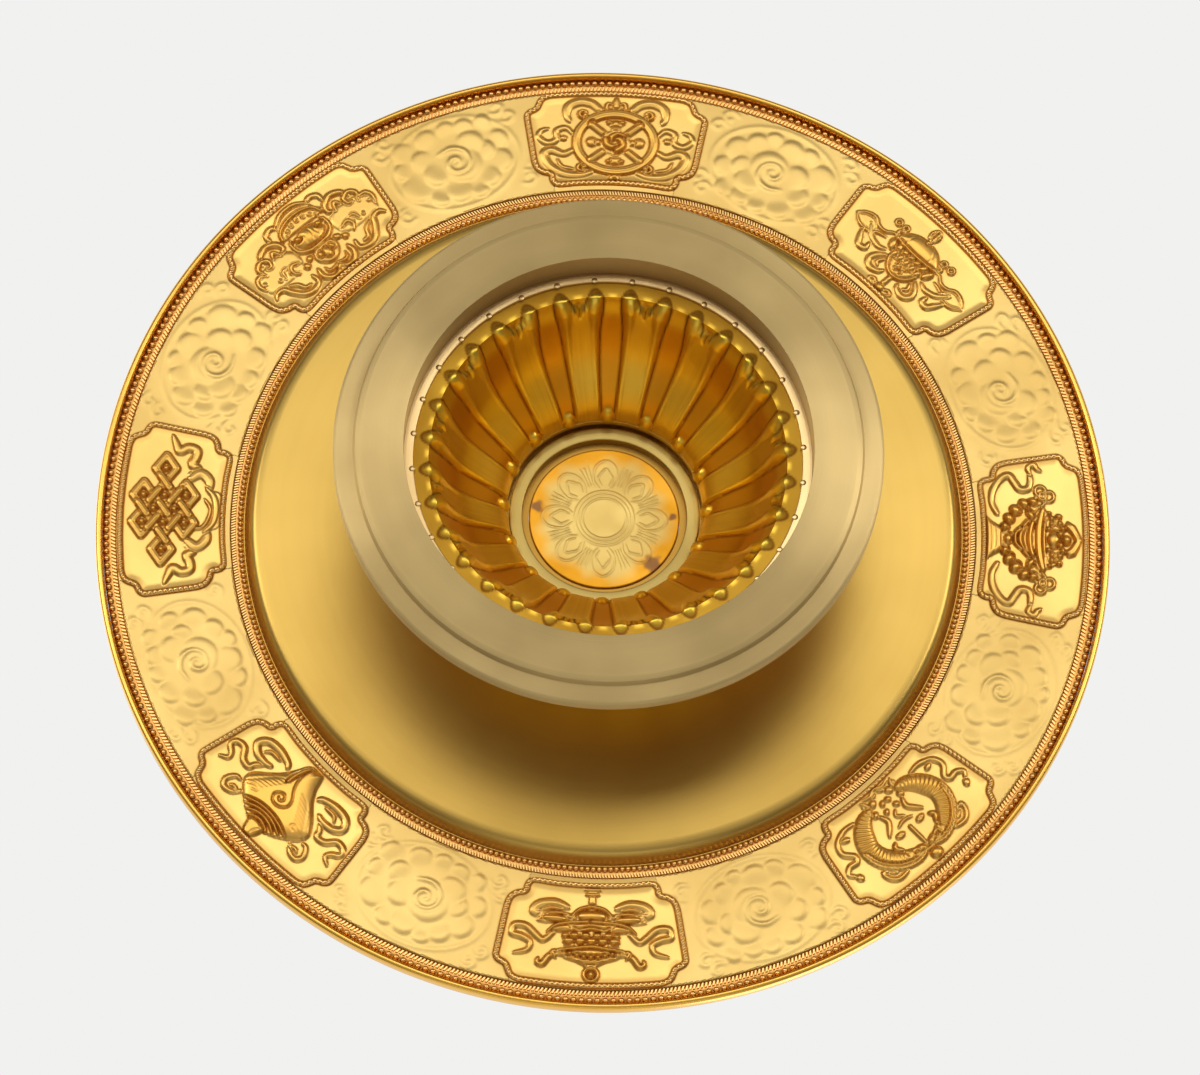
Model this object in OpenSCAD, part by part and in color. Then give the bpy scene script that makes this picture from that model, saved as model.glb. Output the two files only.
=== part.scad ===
// Footed offering plate of gilt brass: a shallow dish with a wide brim, eight framed emblems on the
// underside of the brim, and a cast lotus pedestal on a turned base ring.
// Millimetres, +Z up, standing on the base ring, origin at the middle of the resting face.

/* [Plate] */
// Diameter over the rim wire
plate_d = 250; // [240:1:270]
// Thickness of the spun sheet
sheet_t = 1.2; // [0.8:0.1:2]
// Width of the brim, from the well to the outer edge of the rim wire
brim_w = 36.5; // [34:0.5:40]
// How far the well lies below the brim
well_depth = 4.3; // [3:0.1:8]
// Radial run of the rounded wall of the well
shoulder_w = 2.4; // [1.8:0.1:4]

/* [Rim and border rows] */
// Radial width of the rim wire
rim_w = 1.7; // [1.2:0.1:2.4]
// How far the rim wire hangs below the brim
lip_drop = 2; // [1:0.1:3]
// How far the rim wire stands above the brim
rim_proud = 0.6; // [0.2:0.1:1.5]
// Width of a bead row
bead_w = 1.7; // [1.2:0.1:2.2]
// Width of a fine tooth row
tooth_w = 1.4; // [1:0.1:2]
// Gap between neighbouring rows
row_gap = 0.15; // [0.05:0.05:0.4]

/* [Relief band and panels] */
// Thickness of the relief band under the brim
band_t = 0.8; // [0.5:0.1:1.5]
// Width of a frame's roped wire
frame_w = 1.2; // [0.8:0.1:1.6]
// Height of a frame's wire
frame_t = 0.9; // [0.5:0.1:1.5]
// Half the angle that a panel spans at its sides
panel_angle = 11.9; // [10.8:0.1:13]
// Gap between a frame's head and the outer edge of the relief band
frame_head_gap = 0.3; // [0.1:0.1:0.6]
// Gap between a frame's foot and the inner edge of the relief band
frame_foot_gap = 1.1; // [0.3:0.1:1.5]
// Depth of the notches at a frame's corners
notch_h = 3; // [2.4:0.1:3.6]
// Gap between an emblem and its frame
emblem_gap = 0.2; // [0.1:0.1:1]
// Height of an emblem's ribbons and leaves
ribbon_t = 0.7; // [0.4:0.1:1.2]
// Height of an emblem's main figure
figure_t = 1.2; // [0.8:0.1:1.8]

/* [Pedestal] */
// Height from the resting face to the dish
pedestal_h = 46.7; // [44:0.1:60]
// Diameter of the base ring
base_d = 131.5; // [126:0.5:140]
// Outer diameter of the flat resting face
rest_d = 118.4; // [112:0.2:122]
// Height of the base ring
base_h = 8.6; // [7:0.1:12]
// Height of the step round the resting face
base_step = 1.8; // [1:0.1:3]
// Thickness of the seat ring
seat_t = 1; // [0.6:0.1:2]
// How much of the seat ring shows inside the base ring
seat_show_w = 2.3; // [1.5:0.1:3]
// How much of the lotus shell's flange shows inside the seat ring
flange_show_w = 3.6; // [2.5:0.1:4.5]
// Inner diameter at the mouth of the lotus shell
shell_mouth_d = 86; // [80:0.5:89]
// Wall of the lotus shell between the petals
shell_t = 2.4; // [1.6:0.1:4]
// Width of the lotus shell's foot flange beyond its wall
flange_w = 6; // [4.5:0.1:7]
// Thickness of the foot flange
flange_t = 1.4; // [0.8:0.1:2.5]
// Number of petals round the lotus shell
petals = 16; // [8:1:24]
// How far a petal stands out of the shell
petal_proud = 2.6; // [1.5:0.1:4]
// How far a petal flares out at its tip
petal_flare = 3; // [1:0.1:3.5]
// How far the strips inside the shell stand out
strip_h = 0.8; // [0.4:0.1:1.2]
// Share of a petal's width that its strip takes
strip_share = 0.7; // [0.4:0.05:0.9]
// Height of the neck ring
neck_h = 3.7; // [2.5:0.1:6]
// How far the neck ring stands out of the shell
neck_proud = 3; // [1.5:0.1:5]

/* [Collar and medallion] */
// Outer diameter of the collar
collar_d = 46.8; // [44:0.2:50]
// Bore of the collar
collar_bore_d = 40.4; // [39:0.2:41]
// Height of the collar
collar_h = 2.7; // [2:0.1:5]
// Radial clearance between the collar and the neck liner
socket_clearance = 0.6; // [0.35:0.05:1]
// Wall of the neck liner
liner_t = 0.9; // [0.6:0.1:1.5]
// Diameter of the centre medallion
medallion_d = 37; // [30:0.5:38]
// How far the medallion stands out of the dish on each side
medallion_proud = 0.7; // [0.3:0.1:1.5]

/* [Hidden] */
$fn = 96;

// Soldered pieces lie this far apart at their curved faces
solder_gap = 0.05;
// The liner stops this far short of the dish
liner_gap = 0.4;
// The band's panels stand every eighth of a turn, in this order from +X
KNOT_AT = 0;
LOTUS_AT = 45;
WHEEL_AT = 90;
PARASOL_AT = 135;
VASE_AT = 180;
FISH_AT = 225;
BANNER_AT = 270;
CONCH_AT = 315;

well_r = plate_d / 2 - brim_w;
dish_z = pedestal_h;
brim_z = dish_z + well_depth;
rim_in_r = plate_d / 2 - rim_w;
outer_bead_r = rim_in_r - solder_gap - bead_w / 2;
outer_tooth_r = outer_bead_r - bead_w / 2 - row_gap - tooth_w / 2;
inner_bead_r = well_r + row_gap + bead_w / 2;
inner_tooth_r = inner_bead_r + bead_w / 2 + row_gap + tooth_w / 2;
band_out_r = outer_tooth_r - tooth_w / 2 - row_gap;
band_in_r = inner_tooth_r + tooth_w / 2 + row_gap;
panel_top_r = band_out_r - frame_head_gap;
panel_low_r = band_in_r + frame_foot_gap;
panel_mid_r = (panel_top_r + panel_low_r) / 2;
panel_h = panel_top_r - panel_low_r;
band_z = brim_z - band_t;
// Emblems are drawn in units, this many wide and tall, and scaled to the room inside a frame
DRAWN_WIDE = 40;
DRAWN_TALL = 25;
room_margin = frame_w + emblem_gap;
room_h = panel_h - 2 * room_margin;
room_w = 2 * (panel_mid_r * panel_angle * PI / 180 - room_margin);
emblem_scale = min(room_h / DRAWN_TALL, room_w / DRAWN_WIDE);
medallion_hole_r = medallion_d / 2 + solder_gap;
liner_bore_r = collar_d / 2 + socket_clearance;
liner_r = liner_bore_r + liner_t;
neck_bore_r = liner_r + solder_gap;
neck_r = neck_bore_r + shell_t;
shell_z = base_h + seat_t;
neck_z = pedestal_h - neck_h;
mouth_r = shell_mouth_d / 2;
flange_r = mouth_r + shell_t + flange_w;
seat_bore_r = mouth_r + flange_show_w;
base_bore_r = seat_bore_r + seat_show_w;
// Facets across one petal
petal_facets = 6;
// The shell's inside rises almost upright from the mouth, curves in at its belly and ends in a throat
mouth_lean_w = 1.5;
mouth_rise_h = 4;
BELLY_IN = 0.38;
BELLY_UP = 0.48;
throat_flare_w = 2;
throat_low_h = 7;
throat_high_h = 3;
// A petal starts to swell this far along its arc at its tip
PETAL_START = 0.2;
// The seat ring shows this much round the flange
seat_margin = 0.6;
// Rounded lower edge, upright wall, cove and top edge of the base ring
base_edge_r = 1;
base_wall_h = 2;
base_top_h = 0.6;
base_cove_r = base_h - base_step - base_edge_r - base_wall_h - base_top_h;
// The liner hangs this far below the neck ring
liner_drop = 1.6;
// Rounding of the medallion's edges
medallion_edge_r = 0.4;
// The sheet leans inwards by this part of its thickness in the wall of the well
WALL_LEAN = 0.8;
// The foot of that wall rises this far, and its middle lies at these parts of its run and height
wall_foot_h = 0.35;
WALL_MIDDLE = [0.3, 0.45];

// Points on an arc, from one angle to another
function arc(centre, r, from, to, steps = 8) =
    [for (k = [0:steps])
        let (a = from + (to - from) * k / steps) centre + r * [cos(a), sin(a)]];

// A smooth curve through hand-chosen points
function curve_at(a, b, c, d, t) =
    0.5 * (2 * b + (c - a) * t + (2 * a - 5 * b + 4 * c - d) * t * t + (3 * b - a - 3 * c + d) * t * t * t);
function curve(p, steps = 4) = concat(
    [for (i = [0:len(p) - 2], k = [0:steps - 1])
        curve_at(p[max(i - 1, 0)], p[i], p[i + 1], p[min(i + 2, len(p) - 1)], k / steps)],
    [p[len(p) - 1]]);

// The unit normal of a curve at point i
function side_of(p, i) =
    let (d = p[min(i + 1, len(p) - 1)] - p[max(i - 1, 0)]) [-d[1], d[0]] / norm(d);

// How tightly a curve turns at point i, as the radius of the circle through it and its neighbours
function turn_radius(p, i) =
    let (
        a = p[max(i - 1, 0)],
        b = p[i],
        c = p[min(i + 1, len(p) - 1)],
        twice_area = abs((b[0] - a[0]) * (c[1] - a[1]) - (b[1] - a[1]) * (c[0] - a[0]))
    ) twice_area < 0.001 ? 1000 : norm(b - a) * norm(c - b) * norm(a - c) / (2 * twice_area);

// Half the width of a leaf or ribbon along its length: w in the middle, tip at both ends,
// slimmer in a tight turn
function half_width(p, i, w, tip) =
    min(0.7 * turn_radius(p, i), tip / 2 + (w - tip) / 2 * sqrt(sin(180 * i / (len(p) - 1))));
function ribbon_outline(p, w, tip) = concat(
    [for (i = [0:len(p) - 1]) p[i] + side_of(p, i) * half_width(p, i, w, tip)],
    [for (i = [len(p) - 1:-1:0]) p[i] - side_of(p, i) * half_width(p, i, w, tip)]);

module ribbon(p, w, tip = 0.4) {
    polygon(ribbon_outline(curve(p), w, tip));
}

module both_sides() {
    children();
    mirror([1, 0, 0]) children();
}

// Stands a drawing on the underside of the brim: its x runs along the band and its y points outwards
module on_panel(angle, z) {
    rotate([0, 0, angle])
        translate([0, 0, z])
            rotate(a = 180, v = [1, 1, 0])
                children();
}

module emblem_at(angle) {
    on_panel(angle, band_z)
        translate([0, panel_mid_r, 0])
            children();
}

// Low relief for ribbons, high relief for the main figure
module low() {
    linear_extrude(ribbon_t)
        scale(emblem_scale)
            children();
}

module high() {
    linear_extrude(figure_t)
        scale(emblem_scale)
            children();
}

// A panel's outline: radial sides, arcs at top and foot, and at every corner a notch between two rounded
// shoulders. Each notch point is given in degrees in from the side, and in notch depths from the arc.
LOW_NOTCH = [
    [3.2, 0], [2.5, 0.25], [2.2, 0.6], [2.1, 0.95], [1.8, 1.2], [0.95, 1.4], [0.25, 1.75], [0, 2.3]
];
TOP_NOTCH = [
    [0, 2.1], [0.1, 1.6], [0.5, 1.3], [1.15, 1.15], [1.6, 0.95], [1.8, 0.7], [2.2, 0.3], [2.95, 0]
];
ARC_STEPS = 6;
function polar(r, a) = [r * sin(a), r * cos(a)];
function panel_side(inset) =
    let (
        top = panel_top_r - inset,
        low = panel_low_r + inset,
        wide = panel_angle - inset / panel_mid_r * 180 / PI,
        low_end = wide - LOW_NOTCH[0][0],
        top_end = wide - TOP_NOTCH[len(TOP_NOTCH) - 1][0]
    ) concat(
        [for (k = [0:ARC_STEPS - 1]) polar(low, low_end * k / ARC_STEPS)],
        [for (step = LOW_NOTCH) polar(low + notch_h * step[1], wide - step[0])],
        [for (step = TOP_NOTCH) polar(top - notch_h * step[1], wide - step[0])],
        [for (k = [ARC_STEPS - 1:-1:1]) polar(top, top_end * k / ARC_STEPS)]);
function panel_outline(inset) =
    let (side = panel_side(inset), n = len(side)) concat(
        side,
        [polar(panel_top_r - inset, 0)],
        [for (i = [n - 1:-1:1]) [-side[i][0], side[i][1]]]);

module panel_frame(angle) {
    color("goldenrod")
        on_panel(angle, band_z)
            linear_extrude(frame_t)
                difference() {
                    polygon(panel_outline(0));
                    polygon(panel_outline(frame_w));
                }
}

// Foot of the pedestal

module base_ring() {
    out = base_d / 2;
    wall_top = base_step + base_edge_r + base_wall_h;
    color("burlywood")
        rotate_extrude($fn = 180)
            polygon(concat(
                [[base_bore_r, 0], [rest_d / 2, 0], [rest_d / 2 + base_step, base_step]],
                arc([out - base_edge_r, base_step + base_edge_r], base_edge_r, -90, 0, 4),
                [[out, wall_top]],
                arc([out, wall_top + base_cove_r], base_cove_r, 270, 180, 6),
                [[out - base_cove_r, base_h], [base_bore_r, base_h]]));
}

module seat_ring() {
    color("gold")
        rotate_extrude($fn = 180)
            translate([seat_bore_r, base_h])
                square([flange_r + seat_margin - seat_bore_r, seat_t]);
}

// Inside of the shell, from the mouth up to the neck
function shell_inside() = curve([
    [mouth_r, shell_z],
    [mouth_r - mouth_lean_w, shell_z + mouth_rise_h],
    [mouth_r + (neck_bore_r - mouth_r) * BELLY_IN, shell_z + (neck_z - shell_z) * BELLY_UP],
    [neck_bore_r + throat_flare_w, neck_z - throat_low_h],
    [neck_bore_r, neck_z - throat_high_h]
], 3);

// How far a facet's edge lies from the middle of its petal: 0 in the middle, 1 between two petals
function petal_place(k) = abs(2 * (k % petal_facets) / petal_facets - 1);

// A petal hangs from the neck, swells, and flares towards its tip
function petal_swell(t) =
    petal_proud * sin(180 * (PETAL_START + (1 - PETAL_START) * t)) + petal_flare * pow(1 - t, 3);
function petal_round(k) = 1 - pow(petal_place(k), 2);

// Inside, each petal is a strip that stands out towards the axis between the mouth and the neck
function strip_rise(k, t) = petal_place(k) < strip_share ? strip_h * sin(180 * t) : 0;

// The shell's closed outline at one facet edge: up the inside, down the outside, round the flange
function shell_outline(k) =
    let (
        inside = shell_inside(),
        n = len(inside) - 1,
        flange_top = shell_z + flange_t
    ) concat(
        [for (i = [0:n]) inside[i] - [strip_rise(k, i / n), 0]],
        [[neck_bore_r, neck_z], [neck_r, neck_z]],
        [for (i = [n:-1:0]) if (inside[i][1] > flange_top)
            inside[i] + [shell_t + petal_swell(i / n) * petal_round(k), 0]],
        [[flange_r, flange_top], [flange_r, shell_z]]);

module lotus_shell() {
    around = petals * petal_facets;
    outlines = [for (k = [0:around - 1]) shell_outline(k)];
    along = len(outlines[0]);
    points = [
        for (k = [0:around - 1], p = outlines[k])
            let (a = 360 * k / around) [p[0] * cos(a), p[0] * sin(a), p[1]]
    ];
    faces = [
        for (k = [0:around - 1], i = [0:along - 1])
            let (
                here = k * along,
                there = (k + 1) % around * along,
                next = (i + 1) % along
            )
                for (f = [[here + i, there + next, here + next], [here + i, there + i, there + next]]) f
    ];
    color("darkgoldenrod")
        polyhedron(points, faces);
}

module neck_ring() {
    color("goldenrod")
        rotate_extrude($fn = 180)
            polygon(concat(
                [[neck_bore_r, neck_z]],
                arc([neck_r + neck_proud - neck_h / 2, neck_z + neck_h / 2], neck_h / 2, -90, 90, 10),
                [[neck_bore_r, pedestal_h]]));
}

module neck_liner() {
    color("peru")
        rotate_extrude($fn = 180)
            translate([liner_bore_r, neck_z - liner_drop])
                square([liner_t, neck_h + liner_drop - liner_gap]);
}

// The dish

module dish_pan() {
    fillet = min(well_depth, shoulder_w) * 0.5;
    wall_r = well_r - shoulder_w;
    under = concat(
        [[medallion_hole_r, dish_z], [wall_r - fillet, dish_z]],
        curve([
            [wall_r, dish_z + wall_foot_h],
            [well_r - shoulder_w * WALL_MIDDLE[0], dish_z + well_depth * WALL_MIDDLE[1]],
            [well_r, brim_z]
        ]),
        [[rim_in_r - solder_gap, brim_z]]);
    over = [for (i = [len(under) - 1:-1:0]) under[i] + [-lean(under, i), sheet_t]];
    color("gold")
        rotate_extrude($fn = 180)
            polygon(concat(under, over));
}

// The wall's upper face moves inwards so that the sheet keeps its thickness
function lean(p, i) = p[i][1] > dish_z && p[i][0] <= well_r ? sheet_t * WALL_LEAN : 0;

module collar() {
    color("darkkhaki")
        translate([0, 0, dish_z - collar_h])
            difference() {
                cylinder(d = collar_d, h = collar_h, $fn = 180);
                translate([0, 0, -1]) cylinder(d = collar_bore_d, h = collar_h + 2, $fn = 180);
            }
}

module medallion() {
    edge_r = medallion_d / 2 - medallion_edge_r;
    low = dish_z - medallion_proud;
    high = dish_z + sheet_t + medallion_proud;
    color("khaki")
        rotate_extrude($fn = 120)
            polygon(concat(
                [[0, low]],
                arc([edge_r, low + medallion_edge_r], medallion_edge_r, -90, 0, 3),
                arc([edge_r, high - medallion_edge_r], medallion_edge_r, 0, 90, 3),
                [[0, high]]));
}

module rim_wire() {
    low = brim_z - lip_drop;
    high = brim_z + sheet_t + rim_proud;
    half = rim_w / 2;
    mid_r = rim_in_r + half;
    color("gold")
        rotate_extrude($fn = 240)
            polygon(concat(
                arc([mid_r, low + half], half, 180, 360, 6),
                arc([mid_r, high - half], half, 0, 180, 6)));
}

module relief_band() {
    color("khaki")
        rotate_extrude($fn = 240)
            translate([band_in_r, band_z])
                square([band_out_r - band_in_r, band_t]);
}

// A half-round row under the brim
module half_round_row(r, w) {
    rotate_extrude($fn = 240)
        polygon(arc([r, brim_z], w / 2, 180, 360, 8));
}

module outer_bead_row() { color("peru") half_round_row(outer_bead_r, bead_w); }
module outer_tooth_row() { color("khaki") half_round_row(outer_tooth_r, tooth_w); }
module inner_tooth_row() { color("khaki") half_round_row(inner_tooth_r, tooth_w); }
module inner_bead_row() { color("peru") half_round_row(inner_bead_r, bead_w); }

module knot_frame() { panel_frame(KNOT_AT); }
module lotus_frame() { panel_frame(LOTUS_AT); }
module wheel_frame() { panel_frame(WHEEL_AT); }
module parasol_frame() { panel_frame(PARASOL_AT); }
module vase_frame() { panel_frame(VASE_AT); }
module fish_frame() { panel_frame(FISH_AT); }
module banner_frame() { panel_frame(BANNER_AT); }
module conch_frame() { panel_frame(CONCH_AT); }

// The eight emblems, drawn flat with their tops towards the rim

// The knot's straps lie on a slanted grid: a step along either direction moves half a mesh across
KNOT_ACROSS = 3.6;
KNOT_UP = 2.6;
KNOT_MIDDLE = 2.7;
STRAP_HALF = 0.22;
function knot_point(i, j) = [KNOT_ACROSS * (i + j), KNOT_MIDDLE + KNOT_UP * (i - j)];

module strap(i, j, run_i, run_j) {
    low_i = i - STRAP_HALF;
    low_j = j - STRAP_HALF;
    high_i = i + run_i + STRAP_HALF;
    high_j = j + run_j + STRAP_HALF;
    polygon([
        knot_point(low_i, low_j),
        knot_point(high_i, low_j),
        knot_point(high_i, high_j),
        knot_point(low_i, high_j)
    ]);
}

// A square loop of the knot, one mesh wide
module knot_loop(i, j) {
    for (step = [0, 1]) {
        strap(i, j + step, 1, 0);
        strap(i + step, j, 0, 1);
    }
}

module knot_emblem() {
    color("goldenrod")
        emblem_at(KNOT_AT) {
            high() {
                for (line = [-1:1]) {
                    strap(-1, line, 2, 0);
                    strap(line, -1, 0, 2);
                }
                for (corner = [[0, -2], [1, -1], [-2, -2], [1, 1], [-2, 0], [-1, 1]])
                    knot_loop(corner[0], corner[1]);
            }
            low() {
                both_sides() ribbon([[9, -2.6], [12, -4.2], [14.6, -2.8], [15.2, 0.6], [17.4, 1.4]], 2.6);
                both_sides() ribbon([[7.5, -5], [8.8, -7.2], [6.4, -9.6], [3, -11.2], [-0.8, -11.8]], 2.2, 1.2);
            }
        }
}

module lotus_emblem() {
    color("goldenrod")
        emblem_at(LOTUS_AT) {
            high() {
                translate([0, 1.8]) circle(4.6);
                difference() {
                    translate([0, 4]) circle(6.8);
                    translate([-8, -4]) square([16, 8]);
                }
                translate([0, -5]) circle(3.2);
                both_sides() translate([3, -8.6]) circle(2.4);
            }
            low() {
                translate([0, 8.4]) circle(4);
                both_sides() translate([7, 7.6]) circle(2.6);
                both_sides() ribbon([[4.6, 1.4], [7.6, 4.2], [11, 5.4], [14, 4.2], [16.2, 1.6]], 4.4, 1.4);
                both_sides() ribbon([[3, -2], [7.6, -1.2], [12, -1.4], [16, -2.4], [17.6, -5.2]], 3.4, 1.2);
                both_sides() ribbon([[4, -4.4], [8, -5], [8.6, -9], [11.8, -10], [13.6, -6.6]], 2.4, 1);
                translate([-0.4, -12.4]) square([0.8, 5]);
            }
        }
}

// Points round an oval of half width rx and half height ry
function oval(rx, ry) = [for (k = [0:47]) [rx * cos(7.5 * k), ry * sin(7.5 * k)]];

// A spoke from the hub to the rim. The wheel is this much lower than it is wide.
WHEEL_SQUASH = 0.83;
SPOKE_START = 0.2;
module spoke(angle, reach, w) {
    tip = [reach * cos(angle), WHEEL_SQUASH * reach * sin(angle)];
    side = w / 2 * [-tip[1], tip[0]] / norm(tip);
    polygon([SPOKE_START * tip - side, tip - side, tip + side, SPOKE_START * tip + side]);
}

module wheel_emblem() {
    color("goldenrod")
        emblem_at(WHEEL_AT) {
            high() translate([0, -0.6]) {
                difference() {
                    polygon(oval(10.75, 8.9));
                    polygon(oval(9, 7.4));
                }
                circle(3.4);
                for (k = [0:7])
                    spoke(45 * k, 9.6, 1.5);
                for (x = [-8.2, 8.2], y = [-6.8, 7])
                    translate([x, y]) circle(1.3);
            }
            low() {
                polygon([[-2, 7.8], [-2.4, 9.8], [-1.2, 11.2], [0, 12.4], [1.2, 11.2], [2.4, 9.8], [2, 7.8]]);
                polygon([[-2.4, -9], [-1, -10.8], [-1.8, -12.3], [1.8, -12.3], [1, -10.8], [2.4, -9]]);
                both_sides() ribbon([[3.4, 8], [6, 10.6], [10.4, 9.8], [12.2, 6.4]], 2.6);
                both_sides() ribbon([[10, 0.4], [13, 1.8], [16, 0.2], [18.8, 0.8], [18.6, 3.6]], 2.4);
                both_sides()
                    ribbon([[9.8, -2.4], [13.4, -2.6], [16.4, -5], [14, -8], [10, -9.2], [5.6, -9.2]], 2.2);
            }
        }
}

module parasol_emblem() {
    color("goldenrod")
        emblem_at(PARASOL_AT) {
            high() {
                difference() {
                    translate([0, 0.6]) circle(7.2);
                    translate([-8, -7]) square([16, 9.4]);
                }
                polygon([[-7.6, 2.6], [7.6, 2.6], [5.6, -1], [3.8, -5], [0, -6.4], [-3.8, -5], [-5.6, -1]]);
                translate([0, 9.6]) circle(1.5);
                translate([0, -10.8]) circle(1.5);
            }
            low() {
                translate([-0.5, -12]) square([1, 7]);
                both_sides() translate([9.6, 5.8]) circle(1.5);
                both_sides() ribbon([[7, 5], [8, 4], [10.6, 2.8], [13, -0.2], [17.6, 0]], 2.8);
                both_sides() ribbon([[6, 1], [9.4, -1], [12, -2.2], [11.4, -5.4]], 2.6);
                both_sides() ribbon([[4.8, -2.4], [6.6, -5], [4.8, -8], [2, -7.6]], 2.2);
                both_sides() ribbon([[1, -10.8], [2.4, -10.2], [3.8, -10.4]], 1.2);
            }
        }
}

module vase_emblem() {
    color("goldenrod")
        emblem_at(VASE_AT) {
            high() {
                polygon([[-5.8, -11.6], [5.8, -11.6], [4, -9.4], [1.6, -6], [-1.6, -6], [-4, -9.4]]);
                polygon(concat(
                    curve([[8, 2.6], [10.8, 0.4], [10.2, -3], [6.4, -6.6], [1.6, -8]]),
                    curve([[-1.6, -8], [-6.4, -6.6], [-10.2, -3], [-10.8, 0.4], [-8, 2.6]])));
                translate([-8.2, 2]) square([16.4, 1.6]);
                polygon([[-6.6, 3.4], [6.6, 3.4], [5.4, 6.8], [2.6, 8], [-2.6, 8], [-5.4, 6.8]]);
                polygon([[-4.6, 8.6], [0, 12.4], [4.6, 8.6], [2.4, 6.6], [-2.4, 6.6]]);
            }
            low() {
                both_sides() translate([11.4, 3]) circle(2.9);
                both_sides() ribbon([[6, -8.6], [10, -10], [15, -8.8], [16.2, -6], [13, -3.6]], 2.4, 1.2);
                both_sides() ribbon([[13.2, -4], [12.6, -1.8], [14.8, -0.6], [18, -0.8], [19, 1.8]], 2, 1);
            }
        }
}

module fish_emblem() {
    color("goldenrod")
        emblem_at(FISH_AT) {
            high() {
                translate([0, 10.8]) circle(1.7);
                both_sides() ribbon([[1.6, 7.8], [7.4, 6.6], [11, 1], [9.4, -4.6], [4.8, -7.6]], 5.2, 1.6);
            }
            low() {
                both_sides() ribbon([[6, 2], [3.4, 0.4], [2.8, -2.4], [2.4, -4.8]], 1.8);
                both_sides() ribbon([[5, -7], [3.8, -8.8], [2.2, -10.6], [-0.8, -11.6]], 3, 1.2);
                both_sides() ribbon([[8, 7.6], [10, 9.4], [12.6, 8.6], [12.4, 5]], 2.4, 1);
                both_sides()
                    ribbon([[17.6, 3.6], [19, 1.4], [16.6, -0.6], [15.4, -3.4], [15.4, -6.4], [10.4, -8]], 2);
                translate([-0.5, -8]) square([1, 14]);
            }
        }
}

module banner_emblem() {
    color("goldenrod")
        emblem_at(BANNER_AT) {
            high() {
                translate([0, 10.2]) circle(2.2);
                polygon(concat(
                    curve([[0, 8.6], [4, 7], [9, 6], [12.6, 7.4], [12, 5.6], [8, 4.2], [0, 3.4]]),
                    curve([[-0.2, 3.4], [-8, 4.2], [-12, 5.6], [-12.6, 7.4], [-9, 6], [-4, 7], [-0.2, 8.6]])));
                polygon([[-6.6, 3.8], [6.6, 3.8], [6.4, 1], [9.6, -1.8], [-9.6, -1.8], [-6.4, 1]]);
                both_sides() ribbon([[-1, -4.2], [5.6, -3.4], [11.4, -3.2]], 4, 2.4);
                translate([0, -4.4]) circle(2.8);
            }
            low() {
                both_sides() ribbon([[4, -4.8], [9, -6.4], [13.4, -6.6]], 3.6, 1.4);
                both_sides()
                    ribbon([[8.6, -0.8], [12, 1.2], [15.4, -1], [18.4, 0], [16.4, 3], [18.4, 5.4]], 1.5);
                translate([-0.8, -11.2]) square([1.6, 5]);
                translate([-1.6, -11.6]) square([3.2, 1.2]);
            }
        }
}

module conch_emblem() {
    color("goldenrod")
        emblem_at(CONCH_AT) {
            high() {
                polygon(concat(
                    curve([[0.4, 12], [2.4, 9.6], [7.4, 7], [10.8, 3], [9, -1.4], [4.4, -5], [1, -11]]),
                    curve([
                        [-2, -11], [-4.4, -6], [-9, -1.4], [-10.8, 3], [-7.4, 7], [-2.4, 9.6], [-0.2, 12]
                    ])));
            }
            low() {
                both_sides() ribbon([[8, 5.8], [10.2, 8], [13, 7.2], [13, 4.2]], 2.4, 1.2);
                both_sides() ribbon([[9.6, -2], [12, 0.8], [15.4, -1.6], [18.8, -0.4], [18, 3.6]], 2.2);
                both_sides() ribbon([[7.8, -3.4], [11.6, -3], [14.6, -5.4], [11.4, -7.8], [5.8, -7]], 2, 1);
            }
        }
}

base_ring();
seat_ring();
lotus_shell();
neck_ring();
neck_liner();
dish_pan();
collar();
medallion();
rim_wire();
relief_band();
outer_bead_row();
outer_tooth_row();
inner_tooth_row();
inner_bead_row();
knot_frame();
lotus_frame();
wheel_frame();
parasol_frame();
vase_frame();
fish_frame();
banner_frame();
conch_frame();
knot_emblem();
lotus_emblem();
wheel_emblem();
parasol_emblem();
vase_emblem();
fish_emblem();
banner_emblem();
conch_emblem();
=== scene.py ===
# %% [markdown]
# A footed offering plate of gilt brass. The imported solids are the fixed frame: every piece below is laid
# over one of them, in metres, and rides on the body that it belongs to.

import math

import bmesh
import bpy
import numpy as np
from mathutils import Matrix, Vector


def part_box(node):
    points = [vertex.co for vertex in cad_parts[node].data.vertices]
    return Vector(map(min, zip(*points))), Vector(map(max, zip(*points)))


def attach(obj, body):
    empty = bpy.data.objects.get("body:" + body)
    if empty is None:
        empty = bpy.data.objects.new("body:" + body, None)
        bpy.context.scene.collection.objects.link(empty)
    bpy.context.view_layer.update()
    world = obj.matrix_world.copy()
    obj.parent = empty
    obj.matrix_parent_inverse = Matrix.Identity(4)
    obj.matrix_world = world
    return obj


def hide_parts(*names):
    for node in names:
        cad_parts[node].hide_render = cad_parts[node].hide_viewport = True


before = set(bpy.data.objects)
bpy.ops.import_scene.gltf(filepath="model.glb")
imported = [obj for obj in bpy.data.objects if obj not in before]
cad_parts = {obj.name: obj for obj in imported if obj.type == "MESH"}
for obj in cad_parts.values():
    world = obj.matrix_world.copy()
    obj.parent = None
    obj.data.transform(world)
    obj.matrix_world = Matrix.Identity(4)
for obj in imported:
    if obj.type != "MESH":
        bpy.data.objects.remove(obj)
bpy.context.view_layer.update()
MM = 0.001

# %% [markdown]
# The levels and radii that the pieces share are read off the solids, in millimetres. A turned piece is as
# wide as its box, and a level is the low or high side of one.

# %% Levels and radii


def low_of(node):
    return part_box(node)[0][2] / MM


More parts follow.
